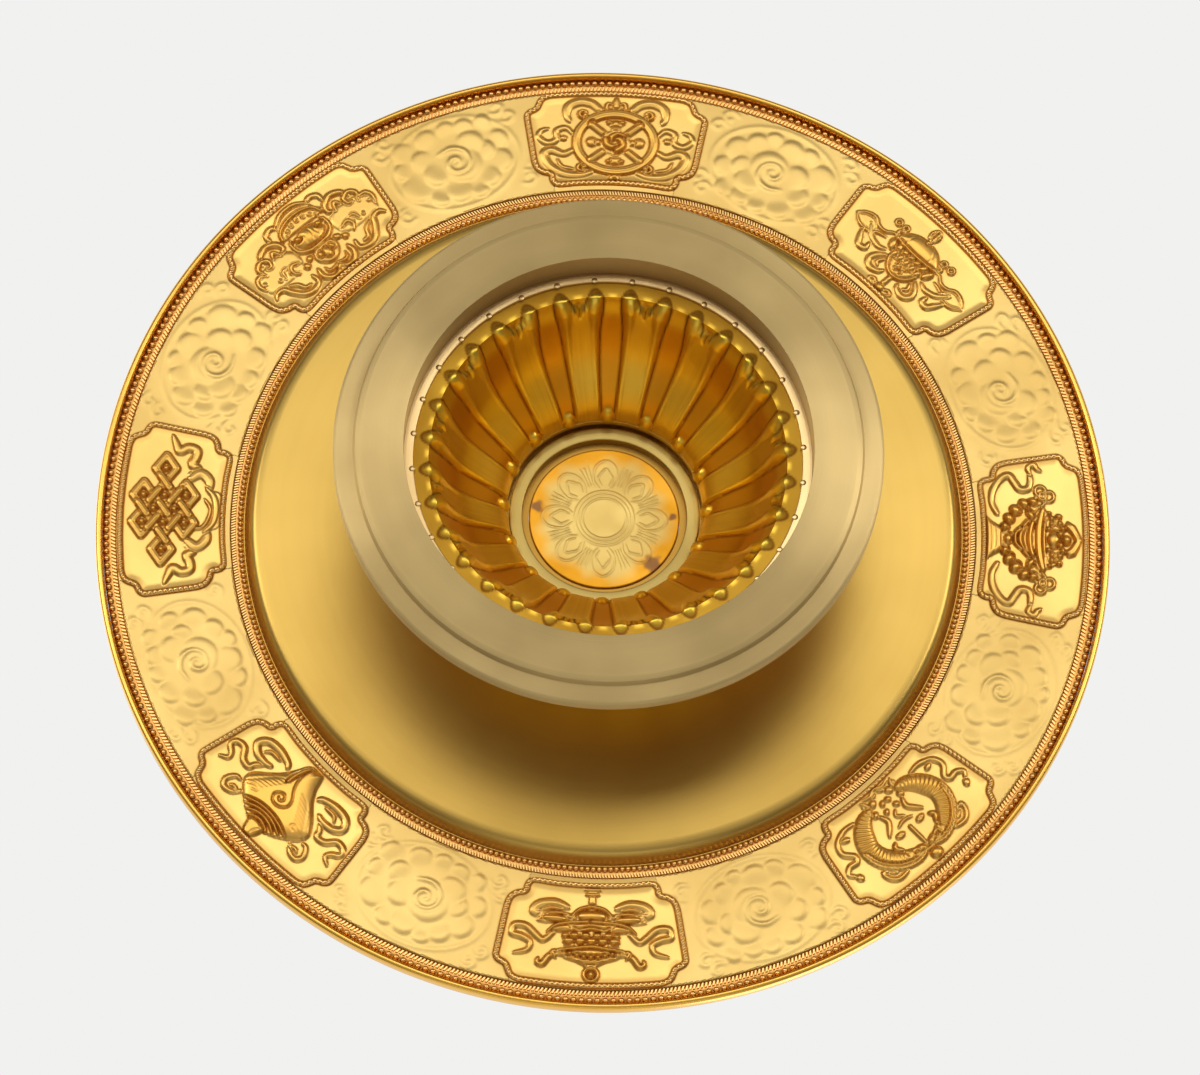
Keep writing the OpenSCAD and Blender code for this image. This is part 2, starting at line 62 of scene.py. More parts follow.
def high_of(node):
    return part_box(node)[1][2] / MM


def radius_of(node):
    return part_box(node)[1][0] / MM


BAND_Z = low_of("relief_band")
BRIM_Z = high_of("relief_band")
DISH_Z = low_of("dish_pan")
RIM_LOW = low_of("rim_wire")
RIM_TOP = high_of("rim_wire")
PLATE_R = radius_of("rim_wire")
BAND_OUT_R = radius_of("relief_band")
SHELL_Z = low_of("lotus_shell")
NECK_Z = high_of("lotus_shell")
SHEET_T = 1.2
BAND_IN_R = 92.05
WELL_R = 88.5
print("band from", round(BAND_IN_R, 2), "to", round(BAND_OUT_R, 2), "at", round(BAND_Z, 2))

# %% [markdown]
# Gilding is never one colour. This group gives the whole plate its finish: cloudy toning, fine grain, and
# brown in the low places, which is partly antiquing and partly painted shade, with an orange cast on risen
# places that is partly toning and partly painted shade and reflection. Each relief carries two numbers per
# point, how deep it lies (crevice) and how high it stands (rise), and the group reads them.

# %% The gilding group


def new_group(name, inputs, outputs):
    group = bpy.data.node_groups.new(name, "ShaderNodeTree")
    for label, kind, value in inputs:
        socket = group.interface.new_socket(label, in_out="INPUT", socket_type=kind)
        socket.default_value = value
    for label, kind in outputs:
        group.interface.new_socket(label, in_out="OUTPUT", socket_type=kind)
    return group, group.nodes.new("NodeGroupInput"), group.nodes.new("NodeGroupOutput")


def add(tree, kind, **settings):
    node = tree.nodes.new(kind)
    for key, value in settings.items():
        setattr(node, key, value)
    return node


def wire(tree, source, target):
    tree.links.new(source, target)


def noise(tree, coords, scale, detail=3.0, roughness=0.55):
    node = add(tree, "ShaderNodeTexNoise")
    node.inputs["Scale"].default_value = scale
    node.inputs["Detail"].default_value = detail
    node.inputs["Roughness"].default_value = roughness
    wire(tree, coords, node.inputs["Vector"])
    return node.outputs["Fac"]


def remap(tree, value, low, high, to_low, to_high):
    node = add(tree, "ShaderNodeMapRange")
    wire(tree, value, node.inputs["Value"])
    for label, number in zip(("From Min", "From Max", "To Min", "To Max"), (low, high, to_low, to_high)):
        node.inputs[label].default_value = number
    return node.outputs["Result"]


def math_node(tree, operation, first, second):
    node = add(tree, "ShaderNodeMath", operation=operation)
    for socket, value in zip(node.inputs, (first, second)):
        if isinstance(value, (int, float)):
            socket.default_value = value
        else:
            wire(tree, value, socket)
    return node.outputs[0]


def mix_colour(tree, factor, first, second, blend="MIX"):
    node = add(tree, "ShaderNodeMix", data_type="RGBA", blend_type=blend)
    wire(tree, factor, node.inputs["Factor"])
    for socket, value in zip((node.inputs[6], node.inputs[7]), (first, second)):
        if isinstance(value, tuple):
            socket.default_value = value
        else:
            wire(tree, value, socket)
    return node.outputs[2]


def object_coords(tree):
    return add(tree, "ShaderNodeTexCoord").outputs["Object"]


COLOUR, FLOAT = "NodeSocketColor", "NodeSocketFloat"
gilding, gild_in, gild_out = new_group(
    "gilding",
    [("Gold", COLOUR, (0.75, 0.45, 0.1, 1)), ("Antiquing and shade", COLOUR, (0.2, 0.07, 0.015, 1)),
     ("Toning", COLOUR, (0.7, 0.33, 0.05, 1)), ("Tone amount", FLOAT, 0.35), ("Antiquing and shade amount", FLOAT, 0.9),
     ("Roughness", FLOAT, 0.35), ("Cloud scale", FLOAT, 30.0), ("Rise tone and shading", FLOAT, 0.25)],
    [("Colour", COLOUR), ("Roughness", FLOAT), ("Grain", FLOAT)])
coords = object_coords(gilding)
crevice = add(gilding, "ShaderNodeAttribute", attribute_name="crevice").outputs["Fac"]
rise = add(gilding, "ShaderNodeAttribute", attribute_name="rise").outputs["Fac"]
cloud = add(gilding, "ShaderNodeTexNoise")
cloud.inputs["Detail"].default_value = 4.0
wire(gilding, coords, cloud.inputs["Vector"])
wire(gilding, gild_in.outputs["Cloud scale"], cloud.inputs["Scale"])
cloudy = remap(gilding, cloud.outputs["Fac"], 0.35, 0.7, 0.0, 1.0)
grain = noise(gilding, coords, 2200.0, 2.0)
tone = math_node(gilding, "MULTIPLY", cloudy, gild_in.outputs["Tone amount"])
# The rise adds the toning colour: painted shade and reflection on the relief, real patina on the medallion.
tone = math_node(gilding, "ADD", tone, math_node(gilding, "MULTIPLY", rise, gild_in.outputs["Rise tone and shading"]))
# Low places turn orange before they turn brown: the warm edge of the painted shade.
tone = math_node(gilding, "ADD", tone, math_node(gilding, "MULTIPLY", crevice, 0.7))
toned = mix_colour(gilding, tone, gild_in.outputs["Gold"], gild_in.outputs["Toning"])
# Low places darken to the brown: antiquing and painted shade together.
depth = math_node(gilding, "MULTIPLY", math_node(gilding, "POWER", crevice, 1.6), gild_in.outputs["Antiquing and shade amount"])
wire(gilding, mix_colour(gilding, depth, toned, gild_in.outputs["Antiquing and shade"]), gild_out.inputs["Colour"])
rough = math_node(gilding, "ADD", gild_in.outputs["Roughness"], remap(gilding, cloudy, 0, 1, -0.04, 0.08))
wire(gilding, math_node(gilding, "ADD", rough, math_node(gilding, "MULTIPLY", depth, 0.25)),
     gild_out.inputs["Roughness"])
wire(gilding, grain, gild_out.inputs["Grain"])
print("group:", gilding.name)

# %% [markdown]
# A lathe leaves fine rings. This group measures how far a point lies from the plate's axis and turns that
# into lines: two sets of noise along the radius, one fine and one coarse, so the rings never look even.

# %% The turning group
turning, turn_in, turn_out = new_group(
    "turning", [("Lines per metre", FLOAT, 1500.0)], [("Lines", FLOAT), ("Bands", FLOAT)])
split = add(turning, "ShaderNodeSeparateXYZ")
wire(turning, object_coords(turning), split.inputs[0])
flat = add(turning, "ShaderNodeCombineXYZ")
wire(turning, split.outputs["X"], flat.inputs["X"])
wire(turning, split.outputs["Y"], flat.inputs["Y"])
length = add(turning, "ShaderNodeVectorMath", operation="LENGTH")
wire(turning, flat.outputs[0], length.inputs[0])
along = math_node(turning, "ADD", length.outputs["Value"], split.outputs["Z"])
ring = math_node(turning, "MULTIPLY", along, turn_in.outputs["Lines per metre"])
fine = add(turning, "ShaderNodeTexNoise", noise_dimensions="1D")
fine.inputs["Scale"].default_value = 1.0
wire(turning, ring, fine.inputs["W"])
wire(turning, fine.outputs["Fac"], turn_out.inputs["Lines"])
coarse = add(turning, "ShaderNodeTexNoise", noise_dimensions="1D")
coarse.inputs["Scale"].default_value = 0.12
wire(turning, ring, coarse.inputs["W"])
wire(turning, coarse.outputs["Fac"], turn_out.inputs["Bands"])
print("group:", turning.name)

# %% [markdown]
# Every finish on the plate is the gilding group with its own colours, and on turned pieces the turning
# group feeds the bump as well. Turned metal also stretches its highlights across the tool's rings, which is
# the shader's own anisotropy. Metallic and the other plain numbers sit on the shader itself.

# %% Finishes


def finish(name, gold, antiquing_and_shade, toning, tone_amount=0.35, antiquing_and_shade_amount=0.9, roughness=0.35,
           cloud_scale=30.0, rise_tone_and_shading=0.25, lines=0.0, line_depth=0.0, band_depth=0.0, grain_depth=0.08,
           stretch=0.0):
    material = bpy.data.materials.new(name)
    material.use_nodes = True
    tree = material.node_tree
    shader = tree.nodes["Principled BSDF"]
    shader.inputs["Metallic"].default_value = 1.0
    shader.inputs["Anisotropic"].default_value = stretch
    shader.inputs["Anisotropic Rotation"].default_value = 0.25
    gild = add(tree, "ShaderNodeGroup", node_tree=gilding)
    for label, value in (("Gold", gold), ("Antiquing and shade", antiquing_and_shade), ("Toning", toning)):
        gild.inputs[label].default_value = (*value, 1)
    for label, value in (("Tone amount", tone_amount), ("Antiquing and shade amount", antiquing_and_shade_amount),
                         ("Roughness", roughness), ("Cloud scale", cloud_scale), ("Rise tone and shading", rise_tone_and_shading)):
        gild.inputs[label].default_value = value
    wire(tree, gild.outputs["Roughness"], shader.inputs["Roughness"])
    bump = add(tree, "ShaderNodeBump")
    bump.inputs["Distance"].default_value = 0.0001
    height = math_node(tree, "MULTIPLY", gild.outputs["Grain"], grain_depth)
    colour = gild.outputs["Colour"]
    if lines:
        turn = add(tree, "ShaderNodeGroup", node_tree=turning)
        turn.inputs["Lines per metre"].default_value = lines
        height = math_node(tree, "ADD", height, math_node(tree, "MULTIPLY", turn.outputs["Lines"], line_depth))
        shade = remap(tree, turn.outputs["Bands"], 0.3, 0.7, 1 - band_depth, 1.0)
        colour = mix_colour(tree, shade, (0, 0, 0, 1), colour)
    wire(tree, colour, shader.inputs["Base Color"])
    wire(tree, height, bump.inputs["Height"])
    wire(tree, bump.outputs["Normal"], shader.inputs["Normal"])
    return material


BROWN = (0.24, 0.075, 0.008)
UMBER = (0.14, 0.07, 0.02)
AMBER = (0.26, 0.12, 0.02)
ORANGE = (0.8, 0.4, 0.06)
finishes = {
    "band_gold": finish("matte_gilding", (0.8, 0.55, 0.18), BROWN, (0.74, 0.44, 0.1), roughness=0.42),
    "emblem_gold": finish("chased_gilding", (0.86, 0.57, 0.17), BROWN, ORANGE, 0.2, roughness=0.34,
                          rise_tone_and_shading=0.7),
    "frame_gold": finish("roped_gilding", (0.92, 0.58, 0.2), BROWN, ORANGE, 0.2, roughness=0.3,
                         rise_tone_and_shading=0.35),
    "bead_gold": finish("beaded_gilding", (0.94, 0.55, 0.18), BROWN, ORANGE, 0.2, roughness=0.28),
    "tooth_gold": finish("cut_gilding", (0.92, 0.62, 0.22), BROWN, ORANGE, 0.2, roughness=0.36),
    "rim_gold": finish("rim_gilding", (0.9, 0.52, 0.1), BROWN, (0.76, 0.36, 0.04), roughness=0.26),
    "dish_gold": finish("satin_gilding", (0.56, 0.36, 0.085), BROWN, (0.6, 0.34, 0.05), 0.25, roughness=0.32,
                        cloud_scale=14.0, lines=2600.0, line_depth=0.05, band_depth=0.02, stretch=0.3),
    "foot_brass": finish("turned_foot", (0.57, 0.41, 0.17), AMBER, (0.5, 0.34, 0.12), 0.1, roughness=0.44,
                         cloud_scale=26.0, lines=2400.0, line_depth=0.2, band_depth=0.04, stretch=0.95),
    "seat_brass": finish("turned_seat", (0.8, 0.58, 0.27), UMBER, (0.66, 0.4, 0.14), roughness=0.3,
                         lines=2400.0, line_depth=0.2, band_depth=0.05),
    "shell_brass": finish("amber_shell", (0.88, 0.61, 0.075), (0.16, 0.05, 0.006), (0.74, 0.35, 0.02), 0.2,
                          roughness=0.34, cloud_scale=70.0, rise_tone_and_shading=0.8),
    "neck_gold": finish("neck_gilding", (0.74, 0.44, 0.1), BROWN, (0.6, 0.3, 0.05), roughness=0.3),
    "liner_brass": finish("liner_brass", (0.72, 0.4, 0.06), UMBER, (0.56, 0.27, 0.03), roughness=0.36,
                          lines=2400.0, line_depth=0.2, band_depth=0.06),
    "collar_brass": finish("collar_brass", (0.45, 0.32, 0.095), UMBER, (0.42, 0.27, 0.06), roughness=0.36,
                           lines=2400.0, line_depth=0.2, band_depth=0.06, stretch=0.7),
    "medallion_brass": finish("medallion_brass", (0.66, 0.47, 0.145), (0.26, 0.14, 0.1), (0.72, 0.33, 0.02),
                              0.15, roughness=0.4, cloud_scale=90.0, rise_tone_and_shading=0.9),
}
print("finishes:", ", ".join(finishes))

# %% [markdown]
# A piece becomes part of the plate in one place: its mesh is made, smoothed where it is round and left
# sharp at its edges, given its finish, and set to ride on its body in place of the solid it stands for.

# %% Setting a piece on the plate
SHARP_ANGLE = math.radians(38)


def settle(name, bm, body, slot, *nodes, sharp=SHARP_ANGLE):
    mesh = bpy.data.meshes.new(name)
    bm.to_mesh(mesh)
    bm.free()
    mesh.shade_smooth()
    mesh.set_sharp_from_angle(angle=sharp)
    mesh.materials.append(finishes[slot])
    piece = bpy.data.objects.new(name, mesh)
    bpy.context.collection.objects.link(piece)
    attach(piece, body)
    if nodes:
        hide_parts(*nodes)
    print(name, len(mesh.polygons), "faces")
    return piece


# %% [markdown]
# Turned pieces are a profile spun round the axis. The profile is a closed outline of radius and height, the
# edges that a lathe tool would break are rounded with a bevel, and a full spin with its seam merged makes
# the ring. Normals are recalculated after the merge, since a spin can come out inside out.

# %% Turned pieces
TURNS = 256


def lathe(outline, corner=0.0, closed=True, steps=TURNS):
    bm = bmesh.new()
    points = [bm.verts.new((r * MM, 0, z * MM)) for r, z in outline]
    pairs = list(zip(points, points[1:])) + ([(points[-1], points[0])] if closed else [])
    for first, second in pairs:
        bm.edges.new((first, second))
    if corner:
        bmesh.ops.bevel(bm, geom=bm.verts[:], offset=corner * MM, offset_type="OFFSET", affect="VERTICES",
                        segments=3, profile=0.5, material=-1)
    bmesh.ops.spin(bm, geom=bm.verts[:] + bm.edges[:], cent=(0, 0, 0), axis=(0, 0, 1), dvec=(0, 0, 0),
                   angle=math.tau, steps=steps, use_merge=True)
    bmesh.ops.remove_doubles(bm, verts=bm.verts[:], dist=0.000001)
    bmesh.ops.recalc_face_normals(bm, faces=bm.faces[:])
    return bm


def arc(centre, r, start, end, steps=8):
    angles = [math.radians(start + (end - start) * k / steps) for k in range(steps + 1)]
    return [(centre[0] + r * math.cos(a), centre[1] + r * math.sin(a)) for a in angles]


BASE_R, BASE_BORE_R, REST_R, BASE_STEP = radius_of("base_ring"), 48.9, 59.2, 1.8
BASE_H = high_of("base_ring")
COVE_R = 3.2
foot = [(BASE_BORE_R, 0), (REST_R, 0), (REST_R + 1.3, 0.35), (REST_R + BASE_STEP, BASE_STEP)]
foot += arc((BASE_R - 1, BASE_STEP + 1), 1, -90, 0, 5) + [(BASE_R, BASE_STEP + 3)]
foot += arc((BASE_R, BASE_STEP + 3 + COVE_R), COVE_R, 270, 180, 8)
foot += [(BASE_R - COVE_R, BASE_H), (BASE_BORE_R, BASE_H)]
base = lathe(foot, 0.12)
painted_shade = base.verts.layers.float.new("crevice")
# The inside of the bore is darkened: painted shade on a wall that faces away from the light.
for v in base.verts:
    if v.co.xy.length < (BASE_BORE_R + 0.05) * MM and v.co.z > 0.6 * MM:
        v[painted_shade] = 0.9
settle("base_ring", base, "pedestal", "foot_brass", "base_ring")

SEAT_IN_R, SEAT_OUT_R = 46.6, radius_of("seat_ring")
SEAT_LOW, SEAT_HIGH = low_of("seat_ring"), high_of("seat_ring")
seat = [(SEAT_IN_R, SEAT_LOW), (SEAT_OUT_R, SEAT_LOW), (SEAT_OUT_R, SEAT_HIGH), (SEAT_IN_R, SEAT_HIGH)]
settle("seat_ring", lathe(seat, 0.3), "pedestal", "seat_brass", "seat_ring")

# %% Seat bosses
TIPS = 32
BOSS_R = 0.75


def half_ball(r, sides, tall):
    bm = bmesh.new()
    bmesh.ops.create_uvsphere(bm, u_segments=sides, v_segments=6, radius=r * MM)
    bmesh.ops.delete(bm, geom=[v for v in bm.verts if v.co.z > 0.0001 * MM], context="VERTS")
    bmesh.ops.holes_fill(bm, edges=[e for e in bm.edges if e.is_boundary], sides=0)
    bmesh.ops.scale(bm, vec=(1, 1, tall), verts=bm.verts[:])
    return bm


def carry_round(bm, count):
    bmesh.ops.spin(bm, geom=bm.verts[:] + bm.edges[:] + bm.faces[:], cent=(0, 0, 0), axis=(0, 0, 1),
                   dvec=(0, 0, 0), angle=math.tau * (count - 1) / count, steps=count - 1, use_duplicate=True)
    bmesh.ops.recalc_face_normals(bm, faces=bm.faces[:])
    return bm


boss = half_ball(BOSS_R, 8, 0.2)
bmesh.ops.translate(boss, vec=((SEAT_IN_R + 0.4) * MM, 0, SEAT_LOW * MM), verts=boss.verts[:])
bmesh.ops.rotate(boss, cent=(0, 0, 0), matrix=Matrix.Rotation(math.tau / TIPS / 2, 3, "Z"), verts=boss.verts[:])
settle("seat_bosses", carry_round(boss, TIPS), "pedestal", "seat_brass", sharp=math.pi)

# %% The neck
NECK_LOW, NECK_TOP = low_of("neck_ring"), high_of("neck_ring")
NECK_BORE_R, NECK_R = 24.95, radius_of("neck_ring")
NECK_ROUND = (NECK_TOP - NECK_LOW) / 2
neck = [(NECK_BORE_R, NECK_LOW)]
neck += arc((NECK_R - NECK_ROUND, NECK_LOW + NECK_ROUND), NECK_ROUND, -90, 90, 12) + [(NECK_BORE_R, NECK_TOP)]
settle("neck_ring", lathe(neck), "pedestal", "neck_gold", "neck_ring")

LINER_IN_R, LINER_R = 24.0, radius_of("neck_liner")
LINER_LOW, LINER_TOP = low_of("neck_liner"), high_of("neck_liner")
liner = [(LINER_IN_R, LINER_LOW), (LINER_R, LINER_LOW), (LINER_R, LINER_TOP), (LINER_IN_R, LINER_TOP)]
settle("neck_liner", lathe(liner, 0.25), "pedestal", "liner_brass", "neck_liner")

COLLAR_IN_R, COLLAR_R = 20.2, radius_of("collar")
COLLAR_LOW = low_of("collar")
collar = [(COLLAR_IN_R, COLLAR_LOW), (COLLAR_R, COLLAR_LOW), (COLLAR_R, DISH_Z), (COLLAR_IN_R, DISH_Z)]
settle("collar", lathe(collar, 0.3), "plate", "collar_brass", "collar")

# %% [markdown]
# The dish is one spun sheet. Its underside rolls out of the flat well into the brim, and the upper face
# follows it one sheet higher. The upper face is plain.

# %% Dish and rim
HOLE_R, SHOULDER_W = 18.55, 2.4
WALL_R = WELL_R - SHOULDER_W
RIM_W = 1.7
BRIM_END_R = PLATE_R - RIM_W - 0.05
under = [(HOLE_R, DISH_Z), (COLLAR_IN_R, DISH_Z), (COLLAR_R + 0.5, DISH_Z), (WALL_R - 2.2, DISH_Z), (WALL_R - 0.6, DISH_Z + 0.12), (WALL_R + 0.3, DISH_Z + 0.5),
         (WALL_R + 1.1, DISH_Z + 1.5), (WALL_R + 1.7, DISH_Z + 3), (WELL_R - 0.3, BRIM_Z - 0.4), (WELL_R, BRIM_Z)]
under += [(BRIM_END_R, BRIM_Z)]
over = [(r - (1.0 if WALL_R - 3 < r < WELL_R + 0.1 else 0), z + SHEET_T) for r, z in reversed(under)]
dish = lathe(under + over)
painted_shade = dish.verts.layers.float.new("crevice")
# The narrow ring of the dish between medallion and collar is darkened: painted shade in the recess between the parts.
for v in dish.verts:
    if v.co.xy.length < (COLLAR_IN_R + 0.1) * MM and v.co.z < (DISH_Z + 0.1) * MM:
        v[painted_shade] = 0.55
settle("dish_pan", dish, "plate", "dish_gold", "dish_pan")

band = [(BAND_IN_R, BAND_Z), (BAND_OUT_R, BAND_Z), (BAND_OUT_R, BRIM_Z), (BAND_IN_R, BRIM_Z)]
settle("relief_band", lathe(band, 0.1), "plate", "band_gold", "relief_band")

RIM_HALF = RIM_W / 2
rim = arc((PLATE_R - RIM_HALF, RIM_LOW + RIM_HALF), RIM_HALF, 180, 360, 8)
rim += arc((PLATE_R - RIM_HALF, RIM_TOP - RIM_HALF), RIM_HALF, 0, 180, 8)
settle("rim_wire", lathe(rim, steps=360), "plate", "rim_gold", "rim_wire")

# %% [markdown]
# The border rows repeat hundreds of times, so one bead or tooth has only a few faces, and a spin that
# duplicates carries it round the brim. A bead is the lower half of a small ball, and a tooth a little wedge.

# %% Border rows
BEADS, TEETH = 404, 808
BEAD_R, TOOTH_W, TOOTH_H = 0.84, 1.3, 0.55
OUTER_BEAD_R, OUTER_TOOTH_R, INNER_TOOTH_R, INNER_BEAD_R = 122.4, 120.7, 91.2, 89.5


def mark(bm, crevice_of, rise_of):
    deep = bm.verts.layers.float.new("crevice")
    tall = bm.verts.layers.float.new("rise")
    for v in bm.verts:
        v[deep] = crevice_of(v.co)
        v[tall] = rise_of(v.co)
    return bm


def antiquing_and_shade_by_height(bm, tall, most):
    """Brown at the brim's surface, lighter towards the tops: antiquing and painted shade at the foot of each bead or
    tooth.
    """
    return mark(bm, lambda p: most * min(1, max(0, 1 - (BRIM_Z * MM - p.z) / (tall * MM))), lambda p: 0.0)


def bead_row(r, ground):
    bm = half_ball(BEAD_R, 8, 1.15)
    pitch = math.tau * r / BEADS
    bmesh.ops.scale(bm, vec=(1, min(1, pitch / 2 / BEAD_R), 1), verts=bm.verts[:])
    bmesh.ops.translate(bm, vec=(r * MM, 0, BRIM_Z * MM), verts=bm.verts[:])
    carry_round(bm, BEADS)
    antiquing_and_shade_by_height(bm, 0.25, 0.45)
    strip = lathe([(x, BRIM_Z) for x in ground] + [(x, BRIM_Z - 0.03) for x in reversed(ground)])
    # The ground round each bead is darker: painted shade between the beads.
    mark(strip, lambda p: 0.58 if abs(p.xy.length / MM - r) < BEAD_R + 0.3 else 0.12, lambda p: 0.0)
    strip_mesh = bpy.data.meshes.new("strip")
    strip.to_mesh(strip_mesh)
    strip.free()
    bm.from_mesh(strip_mesh)
    bpy.data.meshes.remove(strip_mesh)
    return bm


def tooth_row(r, slant):
    bm = bmesh.new()
    bmesh.ops.create_cube(bm, size=MM)
    pitch = math.tau * r / TEETH
    bmesh.ops.scale(bm, vec=(TOOTH_W, pitch * 0.85, TOOTH_H), verts=bm.verts[:])
    crest = [v for v in bm.verts if v.co.z < 0]
    bmesh.ops.scale(bm, vec=(0.8, 0.55, 1), verts=crest)
    bmesh.ops.translate(bm, vec=(r * MM, 0, (BRIM_Z - TOOTH_H / 2) * MM), verts=bm.verts[:])
    bmesh.ops.translate(bm, vec=(0, slant * pitch * MM, 0), verts=[v for v in bm.verts if v.co.x > r * MM])
    carry_round(bm, TEETH)
    return antiquing_and_shade_by_height(bm, 0.25, 0.15)


OUTER_GROUND = (BAND_OUT_R + 0.1, OUTER_BEAD_R - BEAD_R - 0.4, OUTER_BEAD_R - BEAD_R, PLATE_R - RIM_W - 0.05)
INNER_GROUND = (WELL_R + 0.15, INNER_BEAD_R + BEAD_R, INNER_BEAD_R + BEAD_R + 0.4, BAND_IN_R - 0.05)
settle("outer_bead_row", bead_row(OUTER_BEAD_R, OUTER_GROUND), "plate", "bead_gold", "outer_bead_row", sharp=math.pi)
settle("inner_bead_row", bead_row(INNER_BEAD_R, INNER_GROUND), "plate", "bead_gold", "inner_bead_row", sharp=math.pi)
settle("outer_tooth_row", tooth_row(OUTER_TOOTH_R, 0.5), "plate", "tooth_gold", "outer_tooth_row")
settle("inner_tooth_row", tooth_row(INNER_TOOTH_R, -0.5), "plate", "tooth_gold", "inner_tooth_row")

# %% [markdown]
# The emblems are chased relief: a sheet pushed up from behind and drawn on from the front. A fine grid
# stands in for the sheet. Strokes laid over it raise, groove and pit it, and a later stroke lies on top of
# an earlier one, as a chaser would work from the ground upwards. All strokes are in millimetres, with x
# along the brim and y towards the rim, measured from the middle of a panel.

# %% The chasing tools


def smooth_path(points, steps=6):
    """A smooth curve through given points."""
    p = np.array(points, float)
    if len(p) < 3:
        return p
    padded = np.vstack([2 * p[0] - p[1], p, 2 * p[-1] - p[-2]])
    t = np.linspace(0, 1, steps, endpoint=False)[:, None]
    parts = []
    for a, b, c, d in zip(padded, padded[1:], padded[2:], padded[3:]):
        parts.append(0.5 * (2 * b + (c - a) * t + (2 * a - 5 * b + 4 * c - d) * t**2
                            + (3 * b - a - 3 * c + d) * t**3))
    return np.vstack(parts + [p[-1:]])


def ease(t):
    t = np.clip(t, 0, 1)
    return t * t * (3 - 2 * t)


def round_path(centre, rx, ry, start=0, end=360, steps=40):
    a = np.radians(np.linspace(start, end, steps))
    return np.column_stack([centre[0] + rx * np.cos(a), centre[1] + ry * np.sin(a)])


